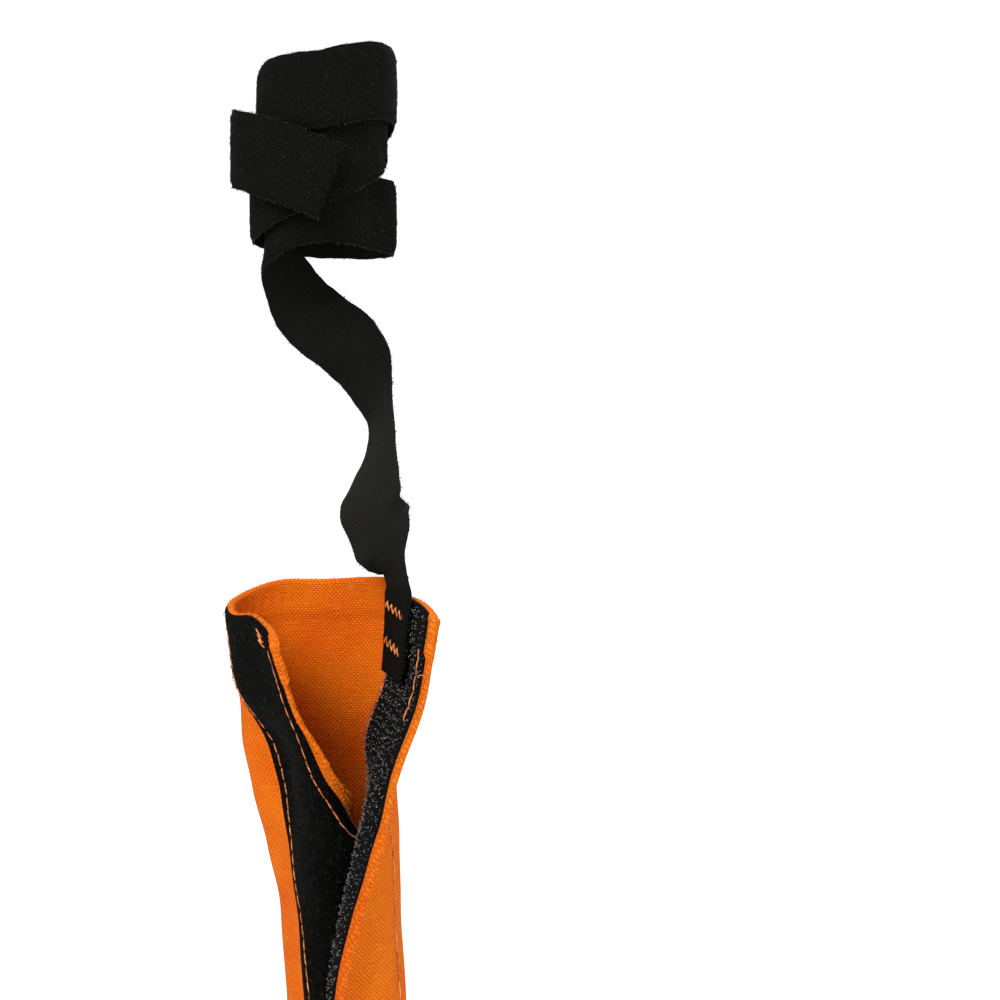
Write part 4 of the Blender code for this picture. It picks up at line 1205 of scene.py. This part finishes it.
def top_strap():
    """The top strap in two runs: the wound one from its sewn root, and its loose end from the last turn."""
    points, widths, exit_place, exit_way = top_strap_stations()
    wound = [station for station in WINDING if station[0] <= LOOSE_FROM]
    after = [station for station in WINDING if station[0] > LOOSE_FROM] + list(TAIL)
    points += list(winding_points(wound))
    widths += [UP] * len(wound)
    shift = np.array(FRAME_START)
    line = strap_line(spline(points, 6) - shift, spline(widths, 6))
    run = spline(winding_points(wound[-2:] + after), 12)
    start = int(np.argmin(np.linalg.norm(run - winding_points(wound[-1:])[0], axis=1)))
    run = run[start:] - shift
    run = run + unit(run[1] - run[0]) * 0.00015
    tail_line = strap_line(run, np.tile(UP, (len(run), 1)))
    pressed = ROOT_PRESSED + (1 - ROOT_PRESSED) * smooth(line[3], TOP_ROOT, TOP_ROOT + 0.012)
    pile_from = int(np.argmax(line[3] > TOP_ROOT + 0.010))
    strap = band("top_strap", line, 800000, (5, 7), pressed, pile_from)
    tail = band("top_tail", tail_line, 900000, (9, 13))
    nodes = "top_strap_root", "top_strap_winding"
    bend_strap(strap, ("flap", "top_strap"), exit_place - shift, exit_way, ROOT_BEND, *nodes)
    hinge = winding_points(TAIL[:1])[0] - shift
    angle = math.radians(TAIL[0][0])
    forward = np.array([math.cos(angle), math.sin(angle), 0])
    bend_strap(tail, ("top_strap", "top_tail"), hinge, forward, TAIL_BEND, "top_strap_tail")
    return (*strap, line), (*tail, tail_line)


def bottom_strap():
    """The bottom strap: its sewn root on the hook tape, and its loose loop beyond the free edge."""
    clear = CANVAS / 2 + HEM_EXTRA + HOOK_TAPE + 2 * GAP + STRAP / 2
    out_run = np.linspace(-BOTTOM_ROOT, -BOTTOM_EDGE, 5)
    s = PANEL_WIDTH + out_run * math.cos(BOTTOM_SLOPE)
    v = BOTTOM_EXIT - out_run * math.sin(BOTTOM_SLOPE)
    root = cloth_point(s, v, -clear)
    way = unit(root[-1] - cloth_point(PANEL_WIDTH - 0.006, BOTTOM_EXIT + 0.0012, -clear))
    exit_place = root[-1] + way * BOTTOM_STEP
    lean = np.interp(np.linspace(0, 1, 9), (0, 0.45, 1), BOTTOM_LEAN)
    down = -np.stack([np.sin(lean), np.zeros(9), np.cos(lean)], axis=1)
    shift = np.array(FRAME_START)
    centres = spline([*root, exit_place, *BOTTOM_LOOP], 8) - shift
    line = strap_line(centres, spline([down[0]] * 5 + list(down), 8), 0.00012)
    strap = band("bottom_strap", line, 900000, (15, 17))
    nodes = "bottom_strap_root", "bottom_strap_loop"
    bend_strap(strap, ("flap", "bottom_strap"), exit_place - shift, way, ROOT_BEND, *nodes)
    return (*strap, line)


def edge_fuzz():
    """The fine orange fibres that the canvas sheds along its rims and its free edges."""
    up = np.arange(0.0004, SLEEVE_LENGTH - 0.0004, 0.0015)
    sides = (
        ("sleeve", 0.0001, 0.0004, FOLD - FOLD_STRIP),
        ("flap", PANEL_WIDTH - 0.0001, FOLD + FOLD_STRIP, PANEL_WIDTH - 0.0004),
    )
    for number, (body, edge, first, last) in enumerate(sides):
        around = np.arange(first, last, 0.0012)
        made = []
        for s, v in ((edge, up), (around, SLEEVE_LENGTH - 0.0001), (around, 0.0001)):
            s, v = np.broadcast_arrays(s, v)
            points = lie(s, v)
            inner_s = np.clip(s, 0.001, PANEL_WIDTH - 0.001)
            inner_v = np.clip(v, 0.001, SLEEVE_LENGTH - 0.001)
            base = path_object(points, unit(points - lie(inner_s, inner_v)), points)
            looks = ORANGE_FIBRE, FUZZ_PITCH, (1.2, 0.9, 1.4), 0.6
            made.append(repeated("fuzz", base, ON_LINE, HAIR, *looks, 80 + number))
        fuzz = joined(f"canvas_fuzz_{body}", made)
        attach(fuzz, body)


def frays():
    """The few frayed threads at the free edges and at the loop tape's cut corner."""
    orange, black = [], []
    for v, way in FRAYED:
        steps = np.array(way) * FRAY_BENDS
        orange.append(loose_thread(lie(PANEL_WIDTH - 0.0002, v), steps, 0.00009, THREAD_FINISH))
    start = lie(PANEL_WIDTH - 0.010, 0.043, CANVAS / 2 + 0.0002)
    orange.append(loose_thread(start, THREAD_END, 0.00013, THREAD_FINISH))
    for number in range(9):
        s = UNDERLAP_MARGIN + 0.0006 + 0.0013 * number
        start = lie(s, SLEEVE_LENGTH - 0.0003, CANVAS / 2 + 0.0006)
        bend = math.sin(2.4 * number)
        steps = [(0.0003 * bend, -0.0003, 0.0007), (0.0005 * bend, -0.0002, 0.0004)]
        black.append(loose_thread(start, steps, 0.00007, LOOP_FIBRE))
    made = joined("orange_frays", orange)
    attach(made, "flap")
    dark = joined("loop_tape_frays", black)
    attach(dark, "sleeve")


def main_camera():
    """The camera of the close-up: level, straight at the peeled mouth."""
    lens = bpy.data.cameras.new("close_up")
    lens.lens = 46
    lens.sensor_width = 36
    lens.shift_x = 0.166
    lens.clip_start = 0.01
    made = link(bpy.data.objects.new("close_up", lens))
    made.location = (0.0035, -0.3442, 0.5205)
    made.rotation_euler = (math.radians(90), 0, 0)
    bpy.context.scene.camera = made


def area_lamp(name, place, aim, size, watts):
    light = bpy.data.lights.new(name, "AREA")
    light.size = size
    light.energy = watts
    lamp = link(bpy.data.objects.new(name, light))
    lamp.location = place
    lamp.rotation_euler = (Vector(aim) - Vector(place)).to_track_quat("-Z", "Y").to_euler()


def studio():
    """A pale sweep behind and below, one large soft lamp, a fill and an even sky."""
    back, radius = 2.2, 0.8
    profile = [(-3.0, 0.0), (back, 0.0)]
    for turn in np.linspace(0.1, math.pi / 2, 12):
        profile.append((back + radius * math.sin(turn), radius - radius * math.cos(turn)))
    profile.append((3.0, 3.2))
    points = [(x, y, z - 0.016) for y, z in profile for x in (-3.5, 3.5)]
    faces = [(2 * i, 2 * i + 1, 2 * i + 3, 2 * i + 2) for i in range(len(profile) - 1)]
    mesh_object("pale_sweep", points, faces, backdrop_finish())
    area_lamp("key", (-0.9, -1.5, 1.5), (0, 0, 0.40), 1.1, 34)
    area_lamp("fill", (1.4, -1.0, 0.7), (0, 0, 0.35), 1.2, 11)
    area_lamp("rim", (0.3, 1.3, 1.7), (0, 0, 0.40), 1.0, 16)
    world = bpy.data.worlds.new("soft_sky")
    world.use_nodes = True
    tree = world.node_tree
    sky = tree.nodes["Background"]
    sky.inputs["Color"].default_value = (*WHITE, 1)
    sky.inputs["Strength"].default_value = 0.55
    white = add(tree, "ShaderNodeBackground", {"Color": (*WHITE, 1), "Strength": 1})[0]
    rays = add(tree, "ShaderNodeLightPath", {})
    kinds = {0: rays["Is Camera Ray"], 1: rays["Is Glossy Ray"]}
    seen = add(tree, "ShaderNodeMath", kinds, operation="MAXIMUM")[0]
    shown = add(tree, "ShaderNodeMixShader", {0: seen, 1: sky.outputs[0], 2: white})[0]
    tree.links.new(shown, tree.nodes["World Output"].inputs["Surface"])
    bpy.context.scene.world = world


runs = sleeve()
loop_tape()
hook_tape()
seams()
tacks()
wound, loose = top_strap()
lower = bottom_strap()
frays()
edge_fuzz()
main_camera()
studio()
bpy.context.scene.view_settings.view_transform = "Standard"
